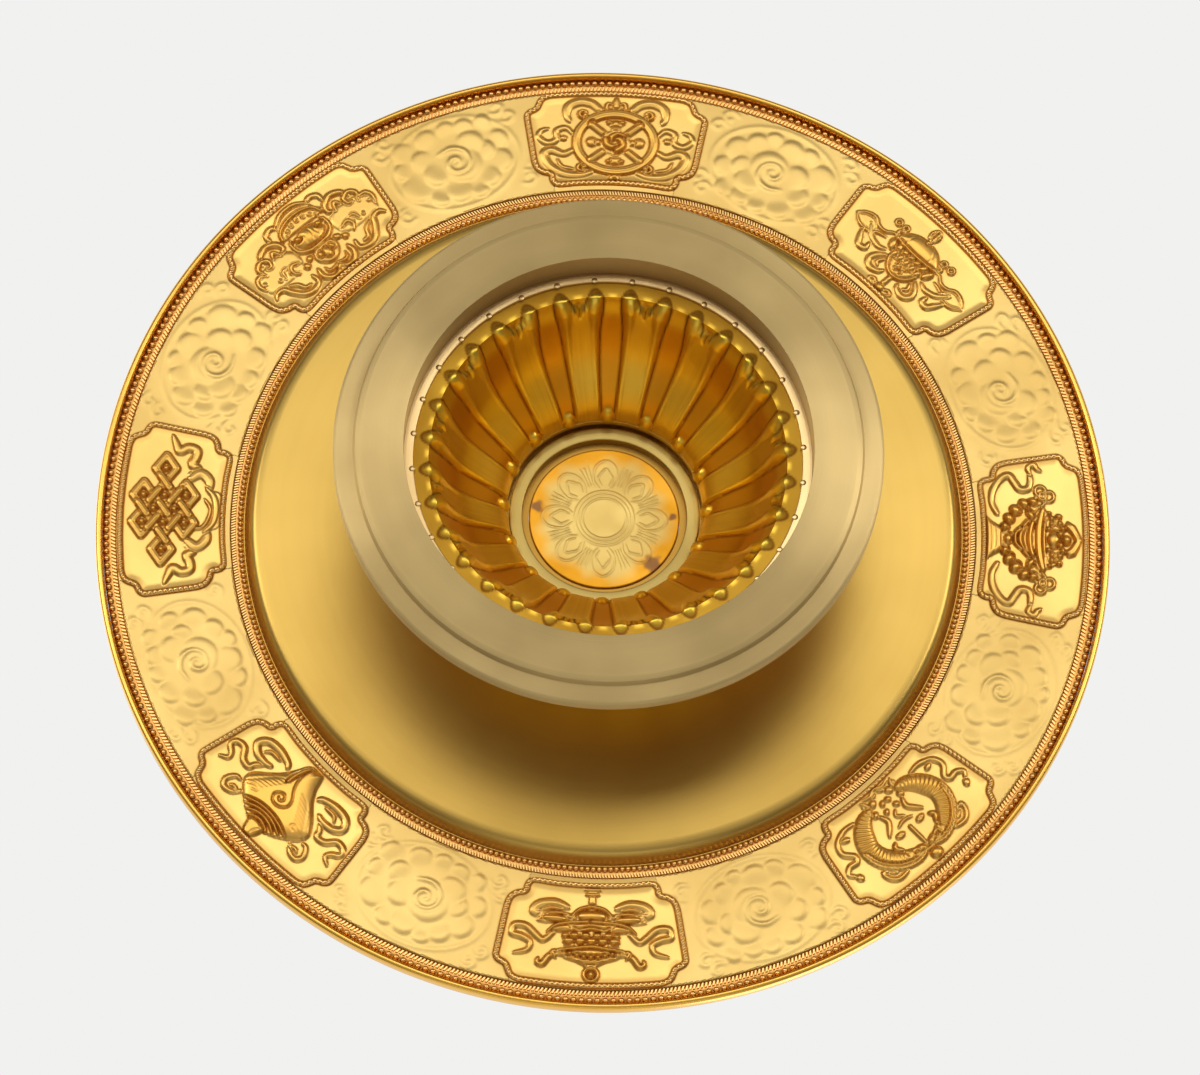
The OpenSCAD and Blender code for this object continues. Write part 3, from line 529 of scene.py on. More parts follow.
class Relief:
    """A sheet of heights over a grid of points."""

    def __init__(self, x, y):
        self.x, self.y = x, y
        self.h = np.zeros_like(x)

    def near(self, path, reach):
        """The points within reach of a path, how far off they lie, and how far along it."""
        low, high = path.min(axis=0) - reach, path.max(axis=0) + reach
        box = (self.x > low[0]) & (self.x < high[0]) & (self.y > low[1]) & (self.y < high[1])
        spot = np.nonzero(box)
        x, y = self.x[spot], self.y[spot]
        best, along = np.full(x.shape, 1e9), np.zeros(x.shape)
        lengths = np.hypot(*np.diff(path, axis=0).T)
        done = 0.0
        for a, b, size in zip(path, path[1:], lengths):
            run = (b - a) / max(size * size, 1e-9)
            t = np.clip((x - a[0]) * run[0] + (y - a[1]) * run[1], 0, 1)
            d = np.hypot(x - a[0] - t * (b[0] - a[0]), y - a[1] - t * (b[1] - a[1]))
            closer = d < best
            best = np.where(closer, d, best)
            along = np.where(closer, done + t * size, along)
            done += size
        return spot, best, along, done

    def ribbon(self, points, width, height, ends=(0.35, 0.35), both=True, furrow=0.0, groove=0.3, base=0.0,
               ribs=0.0, smooth=True, square=2.0):
        """A raised band along a path: narrow at its ends, with a furrow or ribs along it if asked."""
        for side in ((1, -1) if both else (1,)):
            path = (smooth_path(points) if smooth else np.array(points, float)) * (side, 1)
            spot, d, along, total = self.near(path, width / 2 + groove + 0.1)
            t = along / total
            start = ends[0] + (1 - ends[0]) * np.sqrt(np.clip(t / 0.3, 0, 1))
            end = ends[1] + (1 - ends[1]) * np.sqrt(np.clip((1 - t) / 0.3, 0, 1))
            taper = np.minimum(start, end)
            half = width / 2 * taper
            u = np.clip(d / half, 0, 1)
            profile = (1 - u**square) ** (1 / square)
            if furrow:
                profile = profile - 0.45 * furrow * np.exp(-(((u - 0.42) / 0.16) ** 2))
            if ribs:
                profile = profile * (0.86 + 0.14 * np.cos(math.tau * along / ribs - 2.2 * u))
            old = self.h[spot]
            clear = ease((d - half) / groove)
            self.h[spot] = np.where(d < half, base + height * (0.55 + 0.45 * taper) * profile, old * clear)

    def dome(self, centre, rx, ry, height, both=True, turn=0.0, groove=0.25, base=0.0, power=2.0):
        """A rounded boss."""
        for side in ((1, -1) if both else (1,)):
            c, s = math.cos(math.radians(turn * side)), math.sin(math.radians(turn * side))
            dx, dy = self.x - centre[0] * side, self.y - centre[1]
            u = np.hypot((dx * c + dy * s) / rx, (dy * c - dx * s) / ry)
            clear = ease((u - 1) * min(rx, ry) / groove)
            bump = base + height * (1 - np.clip(u, 0, 1) ** power) ** (1 / power)
            self.h = np.where(u < 1, bump, self.h * clear)

    def scallop(self, centre, size, turn, height):
        """A cloud lobe: round and high in front, melting into the ground behind."""
        c, s = math.cos(math.radians(turn)), math.sin(math.radians(turn))
        dx, dy = self.x - centre[0], self.y - centre[1]
        u, forward = np.hypot(dx, dy) / size, (dx * c + dy * s) / size
        bump = height * np.sqrt(np.clip(1 - u**4, 0, 1)) * ease(0.55 + 0.6 * forward)
        inside = np.maximum(self.h * ease(0.5 - 1.5 * forward), bump)
        outside = self.h * np.where(forward > 0, ease((u - 1) * size / 0.5), 1)
        self.h = np.where(u < 1, inside, outside)

    def distance(self, *paths):
        """How far every point lies from the nearest of some paths."""
        nearest = np.full(self.x.shape, 1e9)
        for path in paths:
            spot, d, _, _ = self.near(path, 80)
            nearest[spot] = np.minimum(nearest[spot], d)
        return nearest

    def slab(self, points, height, edge=0.8, both=False, groove=0.3, base=0.0, smooth=True):
        """A raised field inside a closed outline, with a rounded edge."""
        for side in ((1, -1) if both else (1,)):
            ring = np.array(points, float)
            ring = np.vstack([ring, ring[:1]])
            ring = (smooth_path(ring) if smooth else ring) * (side, 1)
            spot, d, _, _ = self.near(ring, groove + 0.1 + np.ptp(ring, axis=0).max())
            inside = within(self.x[spot], self.y[spot], ring)
            lift = base + height * np.sqrt(1 - (1 - np.clip(d / edge, 0, 1)) ** 2)
            self.h[spot] = np.where(inside, lift, self.h[spot] * ease(d / groove))

    def score(self, points, width, depth, both=True, smooth=True):
        """A line cut into what is there."""
        for side in ((1, -1) if both else (1,)):
            path = (smooth_path(points) if smooth else np.array(points, float)) * (side, 1)
            spot, d, _, _ = self.near(path, width / 2)
            self.h[spot] -= depth * ease(1 - 2 * d / width)

    def pit(self, centre, r, depth, both=True):
        """A punched dot."""
        for side in ((1, -1) if both else (1,)):
            d = np.hypot(self.x - centre[0] * side, self.y - centre[1])
            self.h -= depth * ease(1.3 - d / r)

    def ringlet(self, centre, rx, ry, width, height, both=True, **more):
        self.ribbon(round_path(centre, rx, ry), width, height, (1, 1), both, smooth=False, **more)


def within(x, y, ring):
    """Which points lie inside a closed outline."""
    inside = np.zeros(x.shape, bool)
    for (ax, ay), (bx, by) in zip(ring, ring[1:]):
        if ay == by:
            continue
        crosses = (ay > y) != (by > y)
        inside ^= crosses & (x < (bx - ax) * (y - ay) / (by - ay) + ax)
    return inside


def blur(h, passes):
    for _ in range(passes):
        h = (h + np.roll(h, 1, 0) + np.roll(h, -1, 0) + np.roll(h, 1, 1) + np.roll(h, -1, 1)) / 5
    return h


print("chasing tools ready")

# %% [markdown]
# The endless knot: one flat strap that never ends, woven over and under itself on a slanted grid, with a
# scarf tied below it. The straps are laid first, then at each crossing a short length of the upper strap is
# laid again, which covers the one below.

# %% Knot
KNOT_W, KNOT_H, KNOT_MID = 3.6, 2.6, 2.5
STRAP = dict(width=1.9, height=1.0, ends=(1, 1), both=False, furrow=0.7, smooth=False, square=3.0)


def knot_point(i, j):
    return KNOT_W * (i + j), KNOT_MID + KNOT_H * (i - j)


def knot(r):
    r.ribbon([(9.2, -3.6), (10.8, -5.4), (12.2, -3.8), (13.8, -4.6), (15.8, -4.8), (16.6, -2.8), (15.6, -0.6), (17.4, 0.4),
              (20, 1.4)], 2.4, 0.75, (0.6, 0.2))
    r.ribbon([(8, -3.4), (9.8, -6), (8, -8.2), (5.4, -8.6)], 2.6, 0.65, (0.6, 0.4), furrow=0.25)
    r.ribbon([(4.8, -9), (3, -11.4), (0, -12)], 2, 0.6, (0.5, 1), furrow=0.25)
    r.ribbon([(-6, -7.6), (-3.4, -9.8), (0, -10.4), (3.4, -9.8), (6, -7.6)], 1.8, 0.7, both=False, furrow=0.2)
    r.ribbon([(-5.2, -4.6), (-4.2, -7.6), (0, -9), (3, -7.4)], 0.9, 0.7, both=False)
    for line in (-1, 0, 1):
        r.ribbon([knot_point(-1, line), knot_point(1, line)], **STRAP)
        r.ribbon([knot_point(line, -1), knot_point(line, 1)], **STRAP)
    corners = ((0, -2), (1, -1), (-2, -2), (1, 1), (-2, 0), (-1, 1))
    for i, j in corners:
        loop = [knot_point(i, j), knot_point(i + 1, j), knot_point(i + 1, j + 1), knot_point(i, j + 1)]
        r.ribbon(loop + loop[:1], **STRAP)
    meshes = [(i + 0.5, j + 0.5) for i, j in corners] + [(0.5, 0.5), (-0.5, -0.5), (0.5, -0.5), (-0.5, 0.5)]
    for i, j in meshes:
        r.dome(knot_point(i, j), 0.75, 0.75, 1.1, False, groove=0.1, power=2.6)
    for i in (-1, 0, 1):
        for j in (-1, 0, 1):
            over_i = (i + j) % 2 == 0
            ends = [(i - 0.42, j), (i + 0.42, j)] if over_i else [(i, j - 0.42), (i, j + 0.42)]
            r.ribbon([knot_point(*ends[0]), knot_point(*ends[1])], **{**STRAP, "height": 1.25, "groove": 0.35})


# %% [markdown]
# The lotus: a seed pod with a ring of stamens under a scalloped canopy of petals, on rolling leaves whose
# curls end in drilled eyes.

# %% Lotus


def lotus(r):
    r.slab([(-19, -1.4), (-17.6, 1.2), (-14, 2.6), (-9, 3), (-6, 0.6), (-6.6, -3), (-9, -4.4), (-14, -4.6),
            (-17.8, -4.2)], 0.45, 1.2)
    r.slab([(19, -1.4), (17.6, 1.2), (14, 2.6), (9, 3), (6, 0.6), (6.6, -3), (9, -4.4), (14, -4.6),
            (17.8, -4.2)], 0.45, 1.2)
    r.ribbon([(8.8, 7.2), (8.6, 8.8), (6.8, 9.7), (4.8, 9)], 1.5, 0.7, (0.7, 0.7))
    r.slab([(-6.4, 4.6), (-6, 7.2), (-4.6, 9.6), (-2.4, 10.9), (0, 11.2), (2.4, 10.9), (4.6, 9.6), (6, 7.2),
            (6.4, 4.6)], 0.75, 0.9)
    r.ribbon([(-4.9, 9.2), (-2.6, 10.7), (0, 11.1), (2.6, 10.7), (4.9, 9.2)], 1.3, 1.0, (0.6, 0.6), False)
    r.ribbon([(-6.4, 4.8), (-5.4, 7), (-3, 8.2), (0, 8.6), (3, 8.2), (5.4, 7), (6.4, 4.8)], 0.9, 1.15,
             (0.8, 0.8), False)
    for k in range(11):
        a = math.radians(205 - 230 * k / 10)
        r.dome((5.0 * math.cos(a), 3.6 + 3.4 * math.sin(a)), 0.38, 0.45, 1.1, False)
    r.ribbon([(-5.6, 3.2), (-5.4, 0.2), (-3, -1.5), (0, -1.9), (3, -1.5), (5.4, 0.2), (5.6, 3.2)], 1.2, 0.9,
             (0.5, 0.5), False)
    r.dome((0, 1.6), 4.5, 2.7, 1.45, False)
    r.dome((3.4, 2.6), 1.1, 0.9, 1.5)
    r.score([(-2, 3.4), (-1.4, 2), (-2, 0.4)], 0.5, 0.25)
    r.score([(0.2, 3.6), (0.4, 1.8), (0, 0)], 0.5, 0.25, False)
    r.ribbon([(14.6, 3.4), (13.4, 5.6), (10.8, 6.6), (8.4, 5.6), (7.5, 3.6), (8.6, 2.8)], 1.7, 0.95, furrow=0.2)
    r.ribbon([(15.6, 0.6), (16.4, 2.8), (14.9, 4.3), (12.9, 3.6), (13, 1.8), (14.4, 1.7)], 1.3, 0.9)
    r.ribbon([(16.4, 1.6), (18.2, 1.2), (19, -0.6), (18.4, -2.6)], 1.2, 0.75)
    r.ribbon([(9.2, 2.4), (10.4, 4.4), (11.6, 3)], 1.0, 0.8)
    for spot in ((17.6, -1), (14, -2.8), (10.6, -3)):
        r.pit(spot, 0.62, 0.55)
    r.ribbon([(7, -2.2), (9.4, -1.6), (10.2, -3.4), (9, -4.8)], 1.1, 0.8)
    r.ribbon([(12.6, -3.4), (12, -1.4), (10.6, -1)], 1.0, 0.7)
    r.ribbon([(18.4, -6.2), (17.2, -5), (15.2, -5.2), (14, -7.2), (12, -9.6), (9.5, -10.4), (7, -9.4), (7.2, -7)],
             1.7, 0.85, furrow=0.25)
    r.ribbon([(13.6, -5.2), (11.6, -6.6), (10.6, -8.4), (8.8, -8.6)], 1.1, 0.7)
    r.dome((6.4, -4.4), 0.95, 0.95, 0.95)
    r.dome((4.6, -3.2), 1.1, 0.8, 0.9, turn=-30)
    r.slab([(-3.2, -2.6), (0, -2), (3.2, -2.6), (3.6, -5), (2, -7.2), (0, -7.8), (-2, -7.2), (-3.6, -5)], 0.9, 1.2)
    r.dome((0, -4.8), 1.5, 1.7, 1.25, False)
    r.dome((1.9, -4.2), 0.8, 1.1, 1.15, turn=25)
    r.ribbon([(5, -6.8), (5.2, -9.2), (3.4, -11), (1.2, -10.8), (0, -9.6)], 1.6, 0.95, (0.5, 0.8), furrow=0.2)
    r.ribbon([(3.4, -7.6), (3, -9), (1.4, -9.2), (0, -8.4)], 0.8, 0.9)
    r.ribbon([(0, -10.6), (0, -12.6)], 0.9, 0.7, (1, 0.7), False)


# %% [markdown]
# The wheel: an oval rim with a furrow round it, a hub of whirling drops, four petal spokes and four barred
# ones, knobs outside the rim, and ribbons flying from its sides.

# %% Wheel
WHEEL_MID, WHEEL_RX, WHEEL_RY = -0.75, 9.9, 8.15


def wheel(r):
    r.ribbon([(4.4, 8.6), (6.4, 10.2), (9.4, 10.6), (12, 9.2), (12.6, 6.6), (11.8, 4.9)], 2.5, 0.75,
             (0.8, 0.4), furrow=0.3)
    r.ribbon([(10.4, 0.8), (12.6, 2.9), (15, 2), (15, -0.4), (17.2, -1.5), (19.5, 0), (19, 1.8), (17.2, 2.6)],
             1.7, 0.65, furrow=0.2)
    r.dome((13.2, 0), 1.0, 0.8, 0.7)
    r.ribbon([(10.2, -2.8), (13, -4.4), (16.2, -3.4), (18, -4.8), (16.4, -8), (12.6, -10), (8.6, -10.2),
              (5.6, -9.2)], 2.3, 0.7, furrow=0.3)
    r.ribbon([(14.6, -6), (13.4, -8), (10.4, -8.6)], 1.0, 0.6)
    r.ribbon([(0, 7.6), (0, 12)], 1.9, 0.85, (1, 0.25), False)
    r.ribbon([(0.4, 8.6), (2.4, 8.4), (2.2, 10.2), (1.2, 10.2)], 1.0, 0.8)
    r.slab([(-2.3, -9), (2.3, -9), (1.3, -10.6), (1.9, -12.2), (-1.9, -12.2), (-1.3, -10.6)], 0.85, 0.7,
           smooth=False)
    r.pit((0.8, -9.9), 0.5, 0.5)
    r.dome((0, -11.2), 0.8, 0.7, 1.0, False)
    for y, sign in ((7, 1), (-8.2, -1)):
        r.ringlet((8.5, y), 0.85, 0.85, 1.0, 0.95)
        r.ribbon([(7.2, y - 1.2 * sign), (8.2, y + 0.4 * sign)], 1.2, 0.9)
    r.ringlet((0, WHEEL_MID), WHEEL_RX, WHEEL_RY, 2.3, 1.1, False, furrow=0.45, square=3.0)
    for x, y in ((5.4, 4.4), (5.4, -4.4)):
        r.ribbon([(x * 1.12, WHEEL_MID + y * 1.12), (x * 0.45, WHEEL_MID + y * 0.45)], 2.0, 0.95, (1, 0.8),
                 furrow=0.4, smooth=False)
    for x, y, rx, ry in ((0, 5.2, 1.9, 1.1), (0, -5.2, 1.8, 1.2), (6.0, 0, 1.5, 1.4), (-6.0, 0, 1.5, 1.4)):
        r.dome((x, WHEEL_MID + y), rx, ry, 0.9, False)
        r.dome((x * 0.72, WHEEL_MID + y * 0.7), rx * 0.6, ry * 0.6, 0.75, False)
    for x in (-1.7, 1.7):
        r.dome((x, WHEEL_MID + 5.6), 0.8, 0.6, 0.95, False)
        r.dome((x, WHEEL_MID - 5.4), 0.7, 0.6, 0.95, False)
    r.dome((0, WHEEL_MID), 3.7, 3.4, 0.5, False, power=4)
    for k in range(3):
        a = 120 * k + 40
        swirl = [(2.7 * (1 - 0.17 * n) * math.cos(math.radians(a + 42 * n)),
                  WHEEL_MID + 2.4 * (1 - 0.17 * n) * math.sin(math.radians(a + 42 * n))) for n in range(5)]
        r.ribbon(swirl, 1.9, 1.35, (0.9, 0.35), False)


# %% [markdown]
# The parasol: a domed canopy over a pleated valance and a rounded bowl of cloth, a striped finial, a staff
# with a ball at its foot, and long leaves and hooks of ribbon at its sides.

# %% Parasol


def parasol(r):
    r.slab([(18.8, 0.1), (16.8, 1.8), (14.4, 2.5), (12.4, 1.6), (11.8, -0.4), (13.6, -1.6), (16, -1.5)], 0.5, 1.0,
           True, smooth=False)
    r.ribbon([(18.8, 0.1), (16.8, 1.9), (14.2, 2.5), (12.2, 1.4), (10, 1.4), (8, 2.8), (6.4, 2.4)], 0.9, 0.75)
    r.ribbon([(18.8, 0.1), (16.2, -1.6), (13.4, -1.7), (11, -0.2), (8.6, 0.4)], 0.9, 0.7)
    r.ribbon([(14, 0.4), (12, -1.6), (10.6, -2.4), (8.2, -2.8), (6.4, -2)], 1.5, 0.6)
    r.ribbon([(14.4, -2.4), (13.2, -4.4), (12, -6), (10.2, -5.6), (10.4, -3.8)], 1.7, 0.7, furrow=0.25)
    r.ribbon([(5.2, -3), (7, -5), (7.4, -7), (5.8, -8.4), (3.4, -7.8), (2.6, -6.6)], 1.7, 0.7, furrow=0.25)
    r.ribbon([(4.6, -4), (5.4, -6), (4.4, -6.8)], 1.0, 0.65)
    r.ringlet((6.8, 5.8), 0.75, 0.75, 0.6, 0.75)
    r.ringlet((9.3, 5.8), 0.85, 0.85, 0.6, 0.75)
    r.ribbon([(6.2, 5), (7.6, 4), (6.6, 3)], 0.8, 0.7)
    r.ribbon([(0, -5.5), (0, -9.5)], 1.3, 0.7, (1, 1), False)
    r.ribbon([(1, -10.8), (2.4, -9.8), (3.6, -10.4), (2.8, -11.2)], 0.8, 0.7)
    r.dome((0, -10.8), 1.35, 1.4, 1.15, False)
    r.slab([(-4.9, 0), (-4.4, -2.6), (-2.6, -5), (0, -6), (2.6, -5), (4.4, -2.6), (4.9, 0)], 0.9, 1.8)
    r.ribbon([(-4.6, -0.6), (-4, -3.4), (-2.2, -5.4), (0, -6.1), (2.2, -5.4), (4, -3.4), (4.6, -0.6)], 0.9, 1.0,
             (0.7, 0.7), False)
    for x, y in ((0, -3.4), (1.4, -2.6), (0.8, -4.2), (2.6, -1.8)):
        r.dome((x, y), 0.5, 0.45, 1.25)
    for k in range(-3, 4):
        r.dome((2.05 * k, 1.2 - 0.09 * k * k), 1.05, 1.9, 1.1, False, turn=-9 * k, groove=0.2)
    for k in (-2, -1, 0, 1, 2):
        r.dome((2.0 * k, -0.9 - 0.05 * k * k), 0.85, 1.1, 1.0, False, turn=-8 * k, groove=0.2)
    r.slab([(-7, 2.6), (-6, 4.8), (-3.4, 6.8), (0, 7.4), (3.4, 6.8), (6, 4.8), (7, 2.6), (3.6, 1.9), (0, 1.7),
            (-3.6, 1.9)], 1.35, 3.2)
    r.ribbon([(-7.1, 2.7), (-3.6, 2.1), (0, 1.9), (3.6, 2.1), (7.1, 2.7)], 0.8, 1.2, both=False)
    r.score([(2.6, 6.6), (3.6, 4.8), (3.8, 2.8)], 0.45, 0.16)
    r.ribbon([(0, 7.2), (0, 8.2)], 1.6, 0.9, (1, 1), False)
    r.ringlet((-0.2, 9.7), 1.15, 1.7, 0.7, 0.85, False)
    for x in (-0.7, 0.2):
        r.ribbon([(x, 8.6), (x, 10.8)], 0.5, 0.8, (1, 1), False)


# %% [markdown]
# The vase of plenty: a wide belly hung with a pearl swag and draped cloth, on a bell foot, with a heap of
# jewels and a pointed gem above its lip, trefoil handles, and ribbons that roll away on both sides.

# %% Vase


def vase(r):
    r.ribbon([(6.6, -8.8), (9.6, -10.2), (13, -9.8), (16, -8), (17, -6), (15.2, -4.6), (13.4, -3.2), (13.6, -1.2),
              (15.4, -0.6), (18, -0.8)], 1.9, 0.7, (0.6, 0.6), furrow=0.3)
    r.ribbon([(17.4, -0.6), (19.2, -1.2), (20.2, 0.2), (19, 1), (18.4, 2)], 1.5, 0.65)
    for x, y in ((10.2, 1.6), (13, 1.8), (11.6, 4)):
        r.ringlet((x, y), 1.35, 1.25, 0.8, 0.7)
    r.ringlet((11.6, 2.4), 1.0, 0.9, 0.6, 0.85)
    r.slab([(-6.2, -11.6), (-4.6, -10.2), (-3, -7.6), (-1.6, -6), (1.6, -6), (3, -7.6), (4.6, -10.2), (6.2, -11.6)],
           1.0, 1.2, smooth=False)
    r.score([(-4.2, -9.6), (0, -9.2), (4.2, -9.6)], 0.5, 0.3, False)
    r.score([(-5.4, -10.8), (0, -10.4), (5.4, -10.8)], 0.5, 0.3, False)
    r.slab([(-8, 2), (-10.8, 0.4), (-10.4, -2.4), (-8, -5), (-4, -7.2), (0, -7.8), (4, -7.2), (8, -5),
            (10.4, -2.4), (10.8, 0.4), (8, 2)], 1.1, 3.2)
    for x, y, size, turn in ((10, 0, 1.3, -60), (9.4, -2.2, 1.5, -40), (7.6, -4.4, 1.6, -35), (5.4, -6, 1.5, -30),
                             (3.2, -7, 1.2, -20)):
        r.dome((x, y), size, size * 0.8, 1.5, turn=turn)
    r.ribbon([(-8.2, 1.6), (-4, -0.2), (0, -0.8), (4, -0.2), (8.2, 1.6)], 1.4, 1.35, both=False, furrow=0.25)
    r.ribbon([(-5.6, -0.4), (-3, -2.4), (0, -3.2), (3, -2.4), (5.6, -0.4)], 1.1, 1.35, both=False)
    r.ribbon([(-3, -2.8), (-1.4, -4.2), (0, -4.4), (1.4, -4.2), (3, -2.8)], 0.9, 1.35, both=False)
    r.dome((6.4, -0.6), 1.6, 0.9, 1.4, turn=-30)
    r.dome((0, -6.2), 1.5, 1.1, 1.3, False)
    r.ribbon([(-8, 2.4), (-4, 1.6), (0, 1.4), (4, 1.6), (8, 2.4)], 1.7, 1.3, (0.7, 0.7), False, square=3.0)
    r.ribbon([(-7.4, 3.4), (0, 2.7), (7.4, 3.4)], 0.8, 1.2, (0.7, 0.7), False)
    r.slab([(-6.4, 3.4), (-6.2, 6), (-4.6, 7.4), (0, 8), (4.6, 7.4), (6.2, 6), (6.4, 3.4)], 0.9, 1.0)
    for x, y, size in ((6.2, 6.4, 0.8), (5.6, 4.6, 0.8), (4.3, 6.6, 0.8), (4.2, 4.6, 0.7), (2.9, 7.4, 0.8),
                       (2.8, 3.9, 0.7), (7, 4, 0.6)):
        r.dome((x, y), size, size, 1.3)
    r.dome((0, 5.2), 2.4, 1.7, 1.5, False)
    r.dome((1.5, 6.8), 0.9, 0.8, 1.4)
    r.slab([(-5.2, 8.6), (-4, 10.4), (-2, 11.4), (0, 12.3), (2, 11.4), (4, 10.4), (4.6, 8.6), (3, 8), (1.8, 9.4),
            (0, 10.4), (-1.8, 9.4), (-3.6, 7.8)], 1.1, 0.9, smooth=False)
    r.score([(-4.4, 8.8), (-2, 10.4), (0, 11.4), (2, 10.4), (4, 8.8)], 0.45, 0.25, False)
    r.dome((0, 8.3), 1.35, 1.1, 1.6, False)


# %% [markdown]
# The two fish: a pair of scaled crescents head to head under a pearl, curling fins outside them and little
# leaves and flowers between their tails.

# %% Fish


def fish(r):
    r.ribbon([(17.6, 3.4), (18.6, 1.8), (19.6, 0.4), (18, -0.8), (15.8, -0.6), (15.2, -2), (17, -4.4), (16, -7),
              (12.8, -8.4), (9.6, -8.2)], 1.5, 0.65, (0.3, 0.4), furrow=0.2)
    r.dome((18, 2.8), 0.9, 1.1, 0.7, turn=30)
    r.dome((14, -6.4), 1.3, 0.7, 0.6, turn=-20)
    r.ribbon([(11, 6.2), (13.2, 5.8), (12.8, 8), (11, 9.4), (8.4, 9.2), (7, 8.2)], 1.2, 0.65, furrow=0.2)
    r.ribbon([(11.8, 6.8), (10.4, 7.6), (8.6, 7.2)], 0.9, 0.6)
    r.ribbon([(5.6, 0.2), (4, -1.4), (3, -3), (3.8, -5.2)], 1.3, 0.7, (0.4, 0.3))
    r.dome((3.3, 1.7), 1.4, 0.75, 0.75, turn=-8)
    r.pit((3.3, 1.7), 0.4, 0.35)
    r.ribbon([(0, 7.4), (0, 1.6)], 0.9, 0.7, (0.5, 1), False)
    r.ribbon([(-2.4, 0), (0, -0.6), (2.4, 0)], 0.7, 0.6, both=False)
    r.ribbon([(-1, -1.2), (0.6, -2.6), (-0.4, -4)], 0.8, 0.6, both=False)
    for x, y, size in ((4.2, -6, 1.0), (1.6, -4.8, 0.9), (0.9, -7, 0.9), (2.7, -8.6, 1.2), (4.6, -9.6, 0.9),
                       (1.2, -10.2, 1.1)):
        r.dome((x, y), size, size * 0.75, 0.75, turn=35)
    r.ribbon([(5.4, -7.2), (4.2, -9), (5, -10.8)], 1.0, 0.6)
    r.ribbon([(-4.4, -11), (-2, -10.4), (0, -11.2), (2, -10.4), (4.4, -11)], 0.9, 0.6, both=False)
    body = [(1.5, 7.9), (4.4, 7.9), (7.6, 6.4), (10.4, 3.4), (11.4, -0.4), (10, -4), (7.6, -6.6), (4.6, -7.8)]
    r.ribbon(body, 5.2, 1.35, (0.5, 0.28), ribs=1.0)
    r.ribbon([(1.8, 8.3), (5, 8.6), (8.8, 7), (11.9, 3.4), (12.9, -0.6)], 0.7, 1.2, (0.4, 0.4), ribs=0.6)
    r.score([(5.6, 8.6), (5.4, 6.4), (6.6, 4.4)], 0.6, 0.5)
    r.dome((3.5, 7.4), 0.5, 0.45, 1.5)
    r.pit((3.5, 7.4), 0.25, 0.3)
    r.score([(1.8, 6.6), (3.4, 6.2)], 0.45, 0.35)
    r.ribbon([(5.4, 5), (6.6, 3.4), (5.6, 2.2)], 1.2, 1.0)
    r.ribbon([(-1.1, 12.3), (0, 12.8), (1.1, 12.3)], 0.8, 0.8, both=False)
    r.dome((-0.1, 10.7), 1.65, 1.6, 1.3, False)
    r.ribbon([(-1.1, 8.9), (0, 8.7), (1.1, 8.9)], 0.7, 0.8, both=False)


# %% [markdown]
# The banner of victory: a round of cloth in three tiers under a roof with upturned eaves, a ringed jewel on
# top, swinging skirts below and a short pole.

# %% Banner


